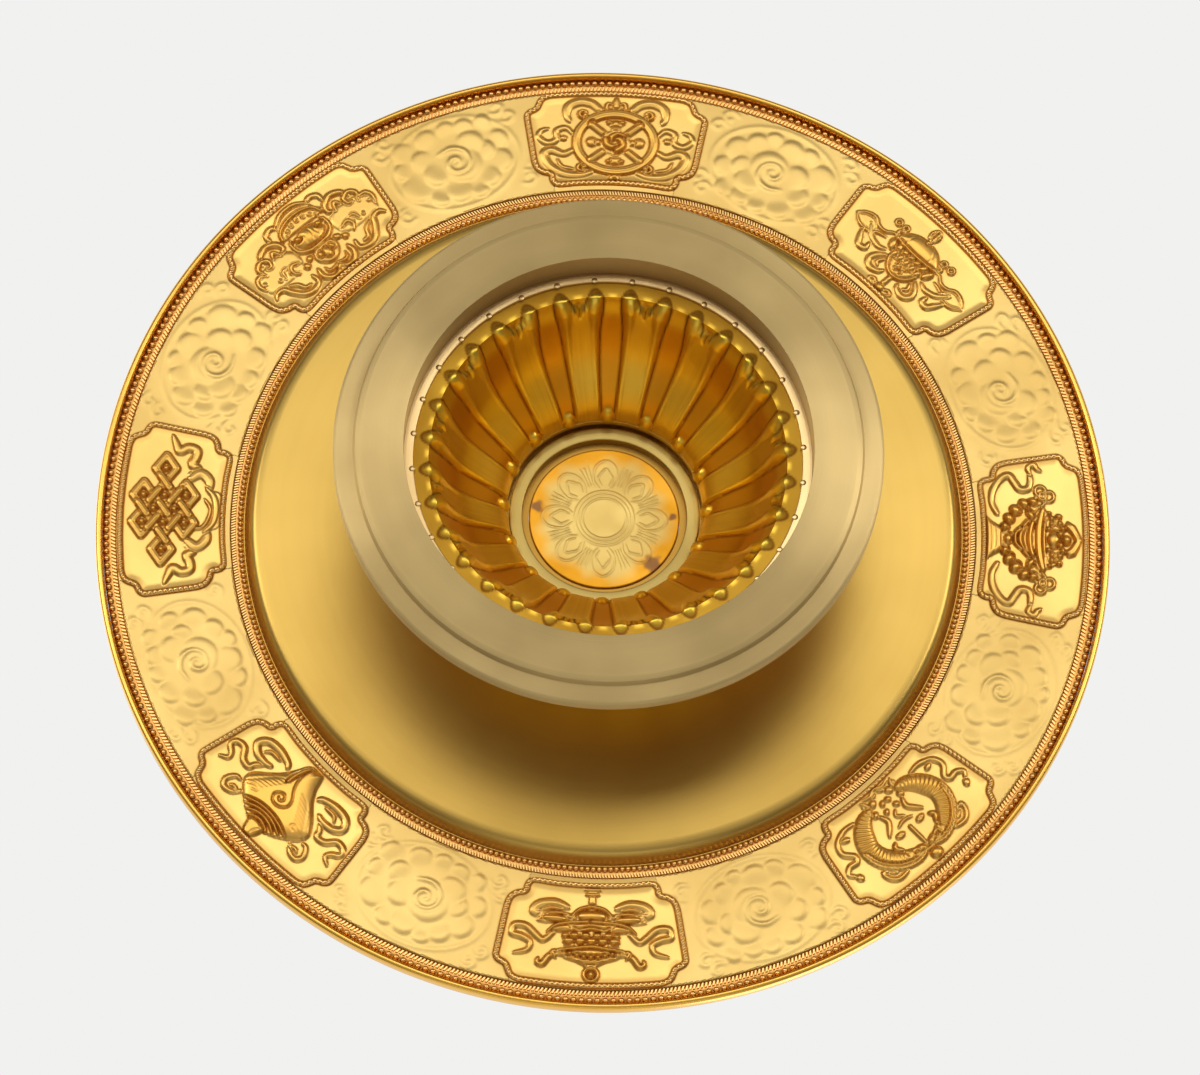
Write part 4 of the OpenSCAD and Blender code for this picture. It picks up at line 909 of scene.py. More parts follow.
def banner(r):
    r.ribbon([(9, -0.2), (11.4, 1.9), (13.2, 0.8), (15.6, -1.4), (18.4, -1.6), (19, 0.4), (16.6, 1.2), (14.6, 2.6),
              (15.4, 4.6), (18.6, 5.4)], 1.7, 0.7, (0.6, 0.25), furrow=0.25)
    r.ribbon([(5.8, -6.4), (9, -7.4), (12.4, -7), (14, -5.4), (12.4, -4.4)], 2.4, 0.65, (0.5, 0.7), furrow=0.3)
    r.ribbon([(7, -5.8), (9.6, -6.2), (11.8, -5.6)], 0.9, 0.75)
    r.slab([(-1, -7), (1, -7), (0.8, -9.6), (1.6, -11), (-1.6, -11), (-0.8, -9.6)], 0.75, 0.7, smooth=False)
    r.ribbon([(-1.5, -9.7), (1.5, -9.7)], 0.6, 0.85, (0.8, 0.8), False)
    r.ribbon([(-1.7, -10.9), (1.7, -10.9)], 0.8, 0.8, (0.8, 0.8), False)
    r.slab([(-13.2, -2.9), (-10, -2.4), (-5, -3), (0, -2.4), (5, -3), (10, -2.4), (13.2, -2.9), (12.2, -4.6),
            (8.6, -4.9), (5.2, -4.7), (3.4, -6), (0, -6.6), (-3.4, -6), (-5.2, -4.7), (-8.6, -4.9), (-12.2, -4.6)],
           1.05, 1.3)
    r.ribbon([(13, -3.4), (9.4, -4.9), (5.4, -4.6)], 0.7, 1.05)
    r.ribbon([(-5, -3.6), (-3.2, -5.7), (0, -6.5), (3.2, -5.7), (5, -3.6)], 0.8, 1.25, both=False)
    r.dome((0, -4.2), 3.6, 1.5, 1.35, False)
    r.dome((8.8, -3.5), 3.2, 1.0, 1.3, turn=-4)
    r.slab([(-10.4, -0.4), (-9, -1.9), (-5, -2.7), (0, -2.9), (5, -2.7), (9, -1.9), (10.4, -0.4), (7, -0.2),
            (0, 0.4), (-7, -0.2)], 1.1, 1.0, smooth=False)
    r.ribbon([(10.6, 0), (8.6, -1.7), (5, -2.5), (0, -2.8)], 0.8, 1.2, (0.5, 1))
    r.ribbon([(-5, -1.4), (-3, -0.4), (0, -1), (3, -0.4), (5, -1.4)], 0.9, 1.3, both=False)
    r.slab([(-7, 0.2), (-6.4, 2.2), (-5.6, 3.4), (5.6, 3.4), (6.4, 2.2), (7, 0.2), (3.6, -0.3), (0, -0.1),
            (-3.6, -0.3)], 1.15, 1.2)
    for k in range(-2, 3):
        r.dome((2.7 * k, 2.1), 1.45, 0.95, 1.4, False)
    for k in range(-2, 2):
        r.dome((2.7 * k + 1.35, 0.7), 1.2, 0.8, 1.3, False)
    r.slab([(-8.6, 4.4), (-6.6, 6.2), (-3.6, 7.2), (-1.4, 8.2), (1.4, 8.2), (3.6, 7.2), (6.6, 6.2), (8.6, 4.4),
            (4.6, 3.9), (0, 3.4), (-4.6, 3.9)], 1.25, 1.8)
    r.ribbon([(6, 5.4), (8.4, 5), (10.2, 6.2), (11.6, 8), (12.8, 7.6), (12.6, 6.4)], 1.5, 0.95, (0.8, 0.3))
    r.ribbon([(7, 4.8), (9.2, 4.8), (8.4, 6.4)], 0.9, 0.9)
    for k in range(-3, 4):
        r.dome((1.7 * k, 6.2 - 0.1 * k * k), 0.75, 0.6, 1.5, False)
    r.ribbon([(-8, 4.4), (-4, 4), (0, 3.5), (4, 4), (8, 4.4)], 0.9, 1.4, both=False)
    r.ribbon([(-1.2, 8.4), (1.2, 8.4)], 0.9, 1.2, (0.8, 0.8), False)
    r.ringlet((-0.1, 10.4), 1.7, 1.65, 0.85, 1.0, False)
    r.dome((-0.1, 10.4), 0.75, 0.95, 1.1, False)


# %% [markdown]
# The conch: a spired shell seen from its mouth, ridged at the spire and rippled on its flanks, with the
# curl of its opening running down to the spout, and cloudlike ribbons round it.

# %% Conch


def conch(r):
    r.ribbon([(8.6, 5.8), (10.4, 7.8), (12.8, 8.2), (13.8, 6.6), (12.6, 4.4), (11, 4.2)], 1.4, 0.65, furrow=0.2)
    r.ribbon([(9.4, 6.8), (11, 6.4), (12, 7)], 0.9, 0.55)
    r.ribbon([(9.8, -2.8), (11.6, -0.8), (12.2, 0.6), (14.6, 0.2), (16.6, -2), (19, -1.8), (19.6, -0.2), (17.8, 1.2),
              (17.4, 2.6), (19.4, 3.8)], 1.6, 0.7, (0.6, 0.25), furrow=0.2)
    r.ribbon([(8.6, -3.4), (10.4, -3), (13.4, -3.4), (15.2, -5.2), (13.6, -7.4), (10, -7.8), (6.6, -7),
              (5.6, -6.2)], 2.0, 0.7, (0.5, 0.6), furrow=0.25)
    r.ribbon([(12.4, -4.8), (11, -6), (8, -6)], 0.9, 0.65)
    shell = [(0.4, 9.4), (4, 8.8), (7.4, 6.8), (10.2, 4.4), (11, 2.4), (10.2, 0.4), (7.6, -2), (5.2, -4.6),
             (3.6, -7.4), (2.4, -10), (1, -10.9), (-0.6, -10.8), (-2, -11), (-2.6, -9.6), (-3.6, -7), (-5.6, -4.2),
             (-8.4, -1.6), (-10.4, 0.8), (-11, 2.6), (-10, 4.8), (-7.4, 6.8), (-4, 8.8)]
    r.slab(shell, 1.45, 4.2)
    for k in range(7):
        y = 2.4 - 0.95 * k
        r.score([(10.6 - 0.75 * k, y + 1.2), (8.4 - 0.75 * k, y - 0.2), (5.8 - 0.62 * k, y - 0.6)], 0.5, 0.16)
    r.score([(9.4, 3.6), (7, 2.6), (6, 3.4), (7.4, 4)], 0.5, 0.2)
    for k, half in enumerate((6.9, 5.8, 4.6)):
        y = 6.4 + 0.85 * k
        r.ribbon([(-half, y), (-half * 0.5, y - 1.1), (0, y - 1.45), (half * 0.5, y - 1.1), (half, y)], 0.95,
                 1.6 - 0.05 * k, (0.5, 0.5), False)
    r.ribbon([(-2.9, 8.8), (0, 7.9), (2.9, 8.8)], 1.3, 1.5, (0.7, 0.7), False)
    r.slab([(-2.4, 8.8), (-2, 11), (-0.9, 12.8), (0.9, 12.8), (2, 11), (2.4, 8.8), (0, 8.2)], 1.2, 1.0)
    r.score([(-1.6, 9.4), (-0.6, 10.8), (-0.6, 12.4)], 0.4, 0.3, False)
    curl = [(1.3, 0.6), (0.4, 1.1), (-0.2, 0.3), (0.6, -0.7), (1.9, -0.3), (2.6, 0.9), (1.6, 2.3), (-0.4, 2.4),
            (-2, 1), (-1.7, -1), (0, -3.2), (1.1, -5.6), (1.4, -8), (0.9, -9.8)]
    r.score(curl, 0.75, 0.6, False)
    r.ribbon([(2.9, -3.6), (2.6, -6), (2, -8.4), (1.2, -10)], 1.0, 1.2, (0.3, 0.6), False)


EMBLEMS = {"knot": knot, "lotus": lotus, "wheel": wheel, "parasol": parasol,
           "vase": vase, "fish": fish, "banner": banner, "conch": conch}
print("emblems:", ", ".join(EMBLEMS))

# %% [markdown]
# Each panel is a piece of that sheet, trimmed to the outline of its frame. A grid is made, drawn on, cut
# along the outline, and its edge is turned down and closed below, so that it is a solid plate. The panel's
# outline has straight radial sides, arcs at head and foot, and a scooped notch at every corner.

# %% Panel outline and placing
PANEL_MID_R = (BAND_OUT_R + BAND_IN_R) / 2
FRAME_SIDE = ((0, 13.15), (8, 12.85), (15.4, 12.15), (17.7, 11.7), (19.1, 10.8), (19.8, 9.3), (20.1, 8.5), (20.8, 7.8),
              (22, 7.1), (22.6, 6.1), (22.5, 4.8), (21.8, 1), (20.7, -5), (20.2, -7.2), (19.4, -8.8), (18, -9.7),
              (16.5, -10), (15.8, -10.6), (15.6, -11.6), (15, -12.6), (13.6, -13.1), (8, -12.4), (0, -12.05))


def panel_path():
    other = [(-x, y) for x, y in reversed(FRAME_SIDE[1:-1])]
    return smooth_path(list(FRAME_SIDE) + other + [FRAME_SIDE[0]], 8)


def onto_brim(bm, degrees, z):
    """Lays a flat drawing under the brim: x along the band, y outwards, heights downwards."""
    turn = Matrix.Rotation(math.radians(degrees), 4, "Z")
    flip = Matrix.Rotation(math.pi, 4, Vector((1, 1, 0)))
    lift = Matrix.Translation((0, PANEL_MID_R, 0))
    bm.transform(Matrix.Scale(MM, 4) @ turn @ Matrix.Translation((0, 0, z)) @ flip @ lift)


print("panel outline of", len(panel_path()), "points")

# %% Making a relief piece
STEP = 0.2


def antiquing_and_shade(h, step, slope_from=1.2):
    """How much brown each point gets: antiquing and painted shade in hollows, and painted shade on steep sides."""
    down, across = np.gradient(h, step)
    slope = np.hypot(down, across)
    steep_shade = 0.3 * np.clip((slope - 0.35) / 0.6, 0, 1) + 0.35 * np.clip((slope - slope_from) / 1.2, 0, 1)
    return np.maximum(np.clip((blur(h, 5) - h) / 0.24, 0, 1), steep_shade)


def grid_points(low, high, step):
    columns, rows = round((high[0] - low[0]) / step), round((high[1] - low[1]) / step)
    return np.meshgrid(np.linspace(low[0], high[0], columns + 1), np.linspace(low[1], high[1], rows + 1))


def relief_sheet(outline, step, draw, frame_d, sink, soften=1, brown=1.0):
    """A sheet drawn on, trimmed to an outline and closed below; frame_d is the way to the nearest frame."""
    low, high = outline.min(axis=0), outline.max(axis=0)
    sheet = Relief(*grid_points(low, high, step))
    draw(sheet)
    h = blur(sheet.h, soften)
    # Brown from hollows and steep sides, and a line of painted shade along the foot of the frame.
    crevice = np.maximum(antiquing_and_shade(h, step) * brown, ease(2.4 - frame_d / 0.5))
    # Risen relief takes an orange cast: a painted reflection of dark surroundings on its slopes.
    rise = np.clip(h / 1.3, 0, 1) * brown
    bm = bmesh.new()
    bmesh.ops.create_grid(bm, x_segments=h.shape[1] - 1, y_segments=h.shape[0] - 1, size=0.5)
    bmesh.ops.scale(bm, vec=(high[0] - low[0], high[1] - low[1], 1), verts=bm.verts[:])
    bmesh.ops.translate(bm, vec=(*((low + high) / 2), 0), verts=bm.verts[:])
    deep, tall = bm.verts.layers.float.new("crevice"), bm.verts.layers.float.new("rise")
    for v, z, c, t in zip(bm.verts, h.ravel().tolist(), crevice.ravel().tolist(), rise.ravel().tolist()):
        v.co.z = z
        v[deep] = c
        v[tall] = t
    centres = np.array([f.calc_center_median()[:2] for f in bm.faces])
    kept = within(centres[:, 0], centres[:, 1], outline)
    bmesh.ops.delete(bm, geom=[f for f, keep in zip(bm.faces[:], kept) if not keep], context="FACES")
    edge = bmesh.ops.extrude_edge_only(bm, edges=[e for e in bm.edges if e.is_boundary])["geom"]
    for v in edge:
        if isinstance(v, bmesh.types.BMVert):
            v.co.z = -sink
    bmesh.ops.holes_fill(bm, edges=[e for e in bm.edges if e.is_boundary], sides=0)
    bmesh.ops.recalc_face_normals(bm, faces=bm.faces[:])
    return bm


PANEL_ANGLES = dict(zip(EMBLEMS, range(0, 360, 45)))
GROUND, PILLOW = 0.1, 0.3
trim = panel_path()
frame_d = Relief(*grid_points(trim.min(axis=0), trim.max(axis=0), STEP)).distance(trim)


def on_pillow(draw):
    """The panel's ground rises a little towards its frame."""
    def both(sheet):
        draw(sheet)
        sheet.h = np.maximum(sheet.h, PILLOW * (1 - ease(frame_d / 2.6)))
    return both


for name, degrees in PANEL_ANGLES.items():
    sheet = relief_sheet(trim, STEP, on_pillow(EMBLEMS[name]), frame_d, GROUND)
    onto_brim(sheet, degrees, BAND_Z - GROUND)
    settle(name + "_emblem", sheet, "plate", "emblem_gold", name + "_emblem", sharp=math.pi)

# %% [markdown]
# A frame is a roped wire bent round the panel. A long strip of grid is bent along the outline, raised into
# a half round, and cut across with slanting grooves. Its two edges are turned down and joined underneath.

# %% Frames
FRAME_W, ROPE_PITCH, ROPE_H = 1.4, 1.25, 0.95
ACROSS, ALONG = 10, 700


def even_path(ring, count):
    steps = np.hypot(*np.diff(ring, axis=0).T)
    done = np.concatenate([[0], np.cumsum(steps)])
    places = np.linspace(0, done[-1], count)
    return np.column_stack([np.interp(places, done, ring[:, k]) for k in (0, 1)]), done[-1]


def rope_frame():
    path, total = even_path(panel_path(), ALONG + 1)
    ahead = np.roll(path[:-1], -1, 0) - np.roll(path[:-1], 1, 0)
    side = np.column_stack([-ahead[:, 1], ahead[:, 0]]) / np.hypot(*ahead.T)[:, None]
    side = np.vstack([side, side[:1]])
    turns = round(total / ROPE_PITCH)
    bm = bmesh.new()
    bmesh.ops.create_grid(bm, x_segments=ALONG, y_segments=ACROSS, size=1)
    deep, tall = bm.verts.layers.float.new("crevice"), bm.verts.layers.float.new("rise")
    for n, v in enumerate(bm.verts):
        k, u = n % (ALONG + 1), v.co.y
        twist = 0.5 + 0.5 * math.cos(math.tau * turns * k / ALONG + 2.0 * u)
        crown = math.sqrt(max(0, 1 - u * u))
        spot = path[k] + side[k] * u * FRAME_W / 2
        v.co = (spot[0], spot[1], ROPE_H * crown * (0.7 + 0.3 * twist))
        # The rope's flanks and the gaps between its strands are darkened, and the gaps toned orange: painted shade.
        v[deep] = min(1, max(0, 1.05 - 1.7 * crown + 0.3 * (1 - twist)))
        v[tall] = 1 - twist
    bmesh.ops.remove_doubles(bm, verts=bm.verts[:], dist=0.01)
    edge = bmesh.ops.extrude_edge_only(bm, edges=[e for e in bm.edges if e.is_boundary])["geom"]
    bmesh.ops.translate(bm, vec=(0, 0, -0.05), verts=[v for v in edge if isinstance(v, bmesh.types.BMVert)])
    bmesh.ops.bridge_loops(bm, edges=[e for e in bm.edges if e.is_boundary])
    bmesh.ops.recalc_face_normals(bm, faces=bm.faces[:])
    return bm


rope = rope_frame()
for name, degrees in PANEL_ANGLES.items():
    bent = rope.copy()
    onto_brim(bent, degrees, BAND_Z)
    settle(name + "_frame", bent, "plate", "frame_gold", name + "_frame", sharp=math.pi)
rope.free()

# %% [markdown]
# Between the panels the brim carries low clouds on a matte ground, inside a faint oval line. A cloud is a
# heap of lobes, each round in front and melting away behind, and one curls up in the middle. Nothing
# stands higher than a third of a millimetre, so only soft light shows it, and no brown was left on the
# clouds, but painted shade darkens the ground along the neighbouring frames. Two fields are drawn, one
# the other turned round, and each is copied four times.

# %% Cloud fields
CLOUD_H = 0.34
FIELD_GROUND = 0.05
FIELD_HALF_ANGLE, FIELD_SPACING = 13.2, 22.5
OVAL = (16.8, 12.6)
LOBES = ((-10.4, -8.4, 2.3, -130), (-5.6, -8.8, 2.5, -105), (-1.0, -9.6, 2.4, -80), (4.6, -8.4, 2.9, -65),
         (11.4, -6.8, 3.0, -35), (13.0, -2.0, 2.5, -5), (11.2, 3.6, 3.9, 35), (6.4, 8.0, 2.6, 60),
         (1.4, 7.6, 3.3, 85), (-3.6, 9.0, 2.3, 105), (-7.2, 6.4, 2.8, 130), (-11.2, 3.0, 3.2, 165),
         (-12.8, -2.8, 2.6, 195), (-8.6, -1.0, 2.6, 175), (-5.6, -4.0, 3.5, -120), (7.6, -3.2, 2.9, -30),
         (5.4, 1.4, 3.3, 40), (-1.8, 0.8, 5.0, 110))
CURL = ((-0.4, 0.8), (-1.5, 0.2), (-0.9, -1.2), (0.8, -1.1), (1.6, 0.8), (0.3, 2.5), (-2.4, 2.3), (-4, 0), (-3.2, -2.8),
        (-0.2, -4.2), (3.4, -3.4))


def polar(r, degrees):
    return r * math.sin(math.radians(degrees)), r * math.cos(math.radians(degrees))


def clouds(r, flip):
    r.x, r.y = r.x * flip, r.y * flip
    r.ringlet((0, 0), *OVAL, 1.2, CLOUD_H * 0.4, False, groove=0.8)
    for x, y, size, turn in LOBES:
        r.scallop((x, y), size, turn, CLOUD_H)
    r.ribbon(CURL, 1.2, CLOUD_H * 1.2, (0.5, 0.2), False, groove=0.5)
    for x, y in ((16.6, 10.4), (15.2, -11), (18.4, 7), (17.2, -8)):
        r.ribbon([(x - 2.4, y + 0.8), (x, y + 1.6), (x + 1.6, y), (x, y - 1.2), (x - 0.8, y)], 1.1, CLOUD_H * 0.6,
                 groove=0.5)
    r.x, r.y = r.x * flip, r.y * flip
    r.h *= open_ground


def neighbour_frames():
    frames = []
    for degrees in (-FIELD_SPACING, FIELD_SPACING):
        c, s = math.cos(math.radians(degrees)), math.sin(math.radians(degrees))
        x, y = panel_path().T + np.array([[0], [PANEL_MID_R]])
        frames.append(np.column_stack([c * x - s * y, s * x + c * y - PANEL_MID_R]))
    return frames


def field_outline():
    top = [polar(BAND_OUT_R - 0.1, a) for a in np.linspace(-FIELD_HALF_ANGLE, FIELD_HALF_ANGLE, 25)]
    low = [polar(BAND_IN_R + 0.1, a) for a in np.linspace(FIELD_HALF_ANGLE, -FIELD_HALF_ANGLE, 25)]
    return np.array(top + low + top[:1]) - (0, PANEL_MID_R)


FIELD_STEP = 0.28
trim = field_outline()
x, y = grid_points(trim.min(axis=0), trim.max(axis=0), FIELD_STEP)
beside = neighbour_frames()
field_d = Relief(x, y).distance(*beside)
open_ground = ease((field_d - 0.9) / 0.8) * ~(within(x, y, beside[0]) | within(x, y, beside[1]))
drawn = [relief_sheet(trim, FIELD_STEP, lambda r: clouds(r, flip), field_d, FIELD_GROUND, soften=4, brown=0.0)
         for flip in (1, -1)]
for k in range(8):
    field = drawn[k % 2].copy()
    onto_brim(field, FIELD_SPACING + 45 * k, BAND_Z - FIELD_GROUND)
    settle(f"cloud_field_{k + 1}", field, "plate", "band_gold", sharp=math.pi)
for sheet in drawn:
    sheet.free()

# %% [markdown]
# The lotus shell and the medallion are relief in the round. A dense profile is spun, every point remembers
# its row on the profile, and a table of heights by row and angle moves it in or out along the profile's own
# normal. The drawing tools work on these tables as well, since they only need an x and a y for each point.
# One eighth is spun and then carried round, which is far quicker than spinning a dense profile all the way.

# %% Relief in the round


def dense(outline, step):
    """An outline with points no further apart than step."""
    path = np.array(outline, float)
    parts = []
    for a, b in zip(path, path[1:]):
        count = max(1, math.ceil(np.hypot(*(b - a)) / step))
        parts.append(a + (b - a) * np.linspace(0, 1, count, endpoint=False)[:, None])
    return np.vstack(parts + [path[-1:]])


SECTORS = 8


def spun_relief(profile, around, height, crevice, rise):
    """A profile spun round the axis and raised by a table of heights, in millimetres."""
    ahead = np.gradient(profile, axis=0)
    normal = np.column_stack([ahead[:, 1], -ahead[:, 0]]) / np.maximum(np.hypot(*ahead.T), 1e-9)[:, None]
    following = np.roll(profile, -1, axis=0)
    if np.sum(profile[:, 0] * following[:, 1] - following[:, 0] * profile[:, 1]) < 0:
        normal = -normal
    for _ in range(4):
        normal[1:-1] = (normal[:-2] + normal[1:-1] + normal[2:]) / 3
    normal /= np.hypot(*normal.T)[:, None]
    bm = bmesh.new()
    row = bm.verts.layers.int.new("row")
    points = [bm.verts.new((r * MM, 0, z * MM)) for r, z in profile]
    for n, v in enumerate(points):
        v[row] = n
    for first, second in zip(points, points[1:]):
        bm.edges.new((first, second))
    if np.hypot(*(profile[0] - profile[-1])) > 0.01 and profile[0][0] > 0.01:
        bm.edges.new((points[-1], points[0]))
    bmesh.ops.spin(bm, geom=bm.verts[:] + bm.edges[:], cent=(0, 0, 0), axis=(0, 0, 1), dvec=(0, 0, 0),
                   angle=math.tau / SECTORS, steps=around // SECTORS)
    carry_round(bm, SECTORS)
    bmesh.ops.remove_doubles(bm, verts=bm.verts[:], dist=0.000005)
    deep, tall = bm.verts.layers.float.new("crevice"), bm.verts.layers.float.new("rise")
    row = bm.verts.layers.int["row"]
    for v in bm.verts:
        n = v[row]
        a = math.atan2(v.co.y, v.co.x)
        k = round(a / math.tau * around) % around
        out, up_by = normal[n] * height[n, k] * MM
        v.co += Vector((math.cos(a) * out, math.sin(a) * out, up_by))
        v[deep], v[tall] = crevice[n, k], rise[n, k]
    bm.verts.layers.int.remove(row)
    bmesh.ops.recalc_face_normals(bm, faces=bm.faces[:])
    return bm


print("relief in the round ready")

# %% [markdown]
# Inside the shell there are sixteen wide strips, and each has a rail along both sides. At the mouth a rail
# swells into a round finger tip, so that every strip shows two tips with a notch between them. The strips
# leave narrow sunken troughs, and each trough ends in a small boss at the neck. The wall is unrolled for the
# work: s is the way in from the mouth, and w the way across from the middle of a strip, in millimetres.

# %% Lotus shell, the wall and its lines
STRIPS, AROUND = 16, 608
MOUTH_R, FLANGE_R, FLANGE_T = 43.0, radius_of("lotus_shell"), 1.4
FINE_TO, FINE, COARSE = 9.0, 0.3, 0.85
throat = smooth_path([(MOUTH_R, SHELL_Z), (MOUTH_R - 1.5, SHELL_Z + 4), (36.1, 25.6), (26.95, 36), (24.95, 40)], 10)
wall_run = np.concatenate([[0], np.cumsum(np.hypot(*np.diff(throat, axis=0).T))])
turn = int(np.searchsorted(wall_run, FINE_TO))
inside = np.vstack([dense(throat[:turn + 1], FINE), dense(throat[turn:], COARSE)[1:]])
rolled = dense([(MOUTH_R + 3, SHELL_Z), (MOUTH_R + 0.3, SHELL_Z)], FINE)
flange = np.vstack([dense([(FLANGE_R, SHELL_Z), (MOUTH_R + 3, SHELL_Z)], 0.9)[:-1], rolled])
outside_line = smooth_path([(27.35, NECK_Z), (29.4, 36), (38.5, 25.6), (43.9, 14), (45.4, SHELL_Z + FLANGE_T)], 10)
outside = dense(outside_line, 1.2)
profile = np.vstack([flange, inside, [(24.95, NECK_Z)], outside, [(FLANGE_R, SHELL_Z + FLANGE_T)]])
angle = np.arange(AROUND) * 360 / AROUND
off = np.abs((angle - 180 / STRIPS) % (360 / STRIPS))
off = np.minimum(off, 360 / STRIPS - off)
run = np.concatenate([[0], np.cumsum(np.hypot(*np.diff(profile, axis=0).T))]) - (FLANGE_R - MOUTH_R)
rows_in = slice(0, len(flange) + len(inside))
s = run[rows_in][:, None]
wall_r = profile[rows_in, 0][:, None]
w = np.radians(off)[None, :] * wall_r
length_in = s[-1, 0]
print("strips:", STRIPS, "around", AROUND, "columns, rows", len(profile), "wall", round(length_in, 1))

# %% Lotus shell, fingers, strips and bosses
TIP_W, TIP_H, STRIP_H = 4.7, 1.8, 1.15
TIP_AT, TIP_CAP = 4.2, 5.8
NOTCH = 2.6
RUNS = (-1.6, 1, 4, 10, 25, 40)
finger_w = np.interp(s, RUNS, (TIP_W, TIP_W, TIP_W * 0.95, 3.2, 1.8, 1.0))
finger_top = np.interp(s, RUNS, (0.6, 1.6, TIP_H, 1.35, 1.2, 1.1))
hook = 0.7 * ease((3.5 - s) / 4)
finger_at = np.radians(np.interp(s, (0, 13, 25, 36), (5.0, 4.8, 5.3, 5.9)) + hook) * wall_r
finger_d = np.hypot((w - finger_at) / finger_w * 2, np.maximum(TIP_AT - s, 0) / TIP_CAP)
finger_h = finger_top * np.clip(1 - finger_d**2, 0, 1) ** 0.8
between = np.clip(w / np.maximum(finger_at - finger_w / 2, 0.1), 0, 1)
strip_mask = ease((finger_at - w) / 0.5) * ease((s - 0.6 - NOTCH * (1 - between) ** 2) / 3.2)
strip_h = STRIP_H * strip_mask
trough = np.radians(180 / STRIPS - off)[None, :] * wall_r
liner_s = np.interp(LINER_LOW, throat[:, 1], wall_run)
from_throat = (liner_s + 0.4 - s) / 3.4
boss_half = np.maximum(0.2, 2.3 * np.sqrt(np.clip(1 - from_throat, 0, 1)))
boss_top = 1.9 * np.clip(1 - from_throat, 0, 1) ** 0.5 * (s < liner_s + 1)
boss_h = boss_top * np.sqrt(np.clip(1 - (trough / boss_half) ** 2, 0, 1))
print("fingers:", 2 * STRIPS)

# %% [markdown]
# Outside, the petals hang from the neck with their tips flaring over the base ring. Each has two swelling
# lobes inside a raised edge, and the points of a second row of petals show between them.

# %% Lotus shell, outside
height = np.zeros((len(profile), AROUND))
height[rows_in] = np.maximum(np.maximum(finger_h, strip_h), boss_h)
first_out = len(flange) + len(inside) + 1
rows_out = slice(first_out, first_out + len(outside))
t = np.linspace(1, 0, len(outside))[:, None]
place = (off / (180 / STRIPS))[None, :]
petal_edge = 0.93 - 0.5 * np.clip((0.16 - t) / 0.16, 0, 1) ** 2
petal = ease((petal_edge - place) / 0.08)
swell = 2.2 * np.sin(np.pi * (0.2 + 0.8 * t)) + 3.0 * (1 - t) ** 3
lobe = np.sqrt(np.clip(1 - ((place - 0.42) / 0.4) ** 2, 0, 1)) * ease((t - 0.1) / 0.12) * ease((0.92 - t) / 0.2)
edge_ridge = np.exp(-(((place - petal_edge + 0.07) / 0.06) ** 2))
height[rows_out] = petal * (0.55 * swell * (1 - 0.5 * place**2) + 0.45 * swell * lobe + 0.5 * edge_ridge)
height[rows_out] += (1 - petal) * 0.35 * swell * ease((0.5 - t) / 0.3)
height[rows_out] *= ease((1 - t) / 0.06)
print("petals:", STRIPS)

# %% [markdown]
# Brown lies in a line round every finger tip, along the outer side of each rail and in the notch between
# two tips: painted shade, with antiquing, at the foot of the raised parts. The flange is darkened with
# painted shade under the tips and left light in the gaps between them. Thinly on the strips lie lengthwise
# streaks from the chaser's files. The sunken troughs count as risen toning, so the same group gives them
# the dark orange of painted shade.

# %% Lotus shell, antiquing
# Hollows of the relief are darkened: painted shade in the creases, inside the shell and on the petals.
crevice = np.clip((blur(height, 3) - height) / 0.3, 0, 1)
in_wall = ease((s - 3) / 2)
arch = ease(1 - np.abs(finger_d - 1.08) / 0.3) * (1 - in_wall * (w < finger_at) * strip_mask)
side_line = 0.85 * ease(1 - np.abs(w - finger_at - 0.5 * finger_w - 0.2) / 0.5) * in_wall
streak = 0.5 + 0.5 * np.sin(7 * angle + 3 * np.sin(0.37 * angle)) * np.cos(2.3 * angle)
rubbed = 0.2 * streak[None, :] * strip_mask * ease((s - 4) / 8)
unshaded_gaps = ease((finger_d - 1.4) / 0.45) * ease((s + 1.4) / 1.2) * 0.75
on_tip = ease((1.05 - finger_d) / 0.2)
flange_shade = 0.68 * ease(0.7 - s) * (1 - np.maximum(unshaded_gaps, on_tip))
notch = 0.5 * (1 - strip_mask) * (w < finger_at) * ease((finger_d - 0.9) / 0.4) * ease(s - 0.6) * (s < 8)
lines = np.maximum.reduce([0.5 * crevice[rows_in], rubbed, arch * (s < 14), side_line, flange_shade, notch])
crevice[rows_in] = lines * (1 - ease(boss_h / 0.5))
rise = np.zeros_like(height)
# The troughs get the risen toning: painted shade in the sunken channels.
rise[rows_in] = (w > finger_at + 0.5 * finger_w) * ease((s - 4) / 4) * (boss_h < 0.05)
shell = spun_relief(profile, AROUND, height, crevice, rise)
settle("lotus_shell", shell, "pedestal", "shell_brass", "lotus_shell", sharp=math.radians(60))

# %% [markdown]
# The medallion shows on both faces: a plain boss, three rings, and eight lotus petals with doubled outlines,
# with a fan of leaves between every two, all in low thin lines. It is drawn once round. Its ground is pale,
# the outer part has gone orange in uneven tongues, and two dark stains sit against its edge.

# %% Medallion
MEDAL_R, MEDAL_LOW, MEDAL_HIGH = radius_of("medallion"), low_of("medallion"), high_of("medallion")
MEDAL_ROUND = 0.4
MEDAL_AROUND = 360
LINE_H = 0.12
STAINS = ((-12.2, -11.6, 2.3), (16.6, 2.6, 1.6), (-16.8, 1.0, 1.0))


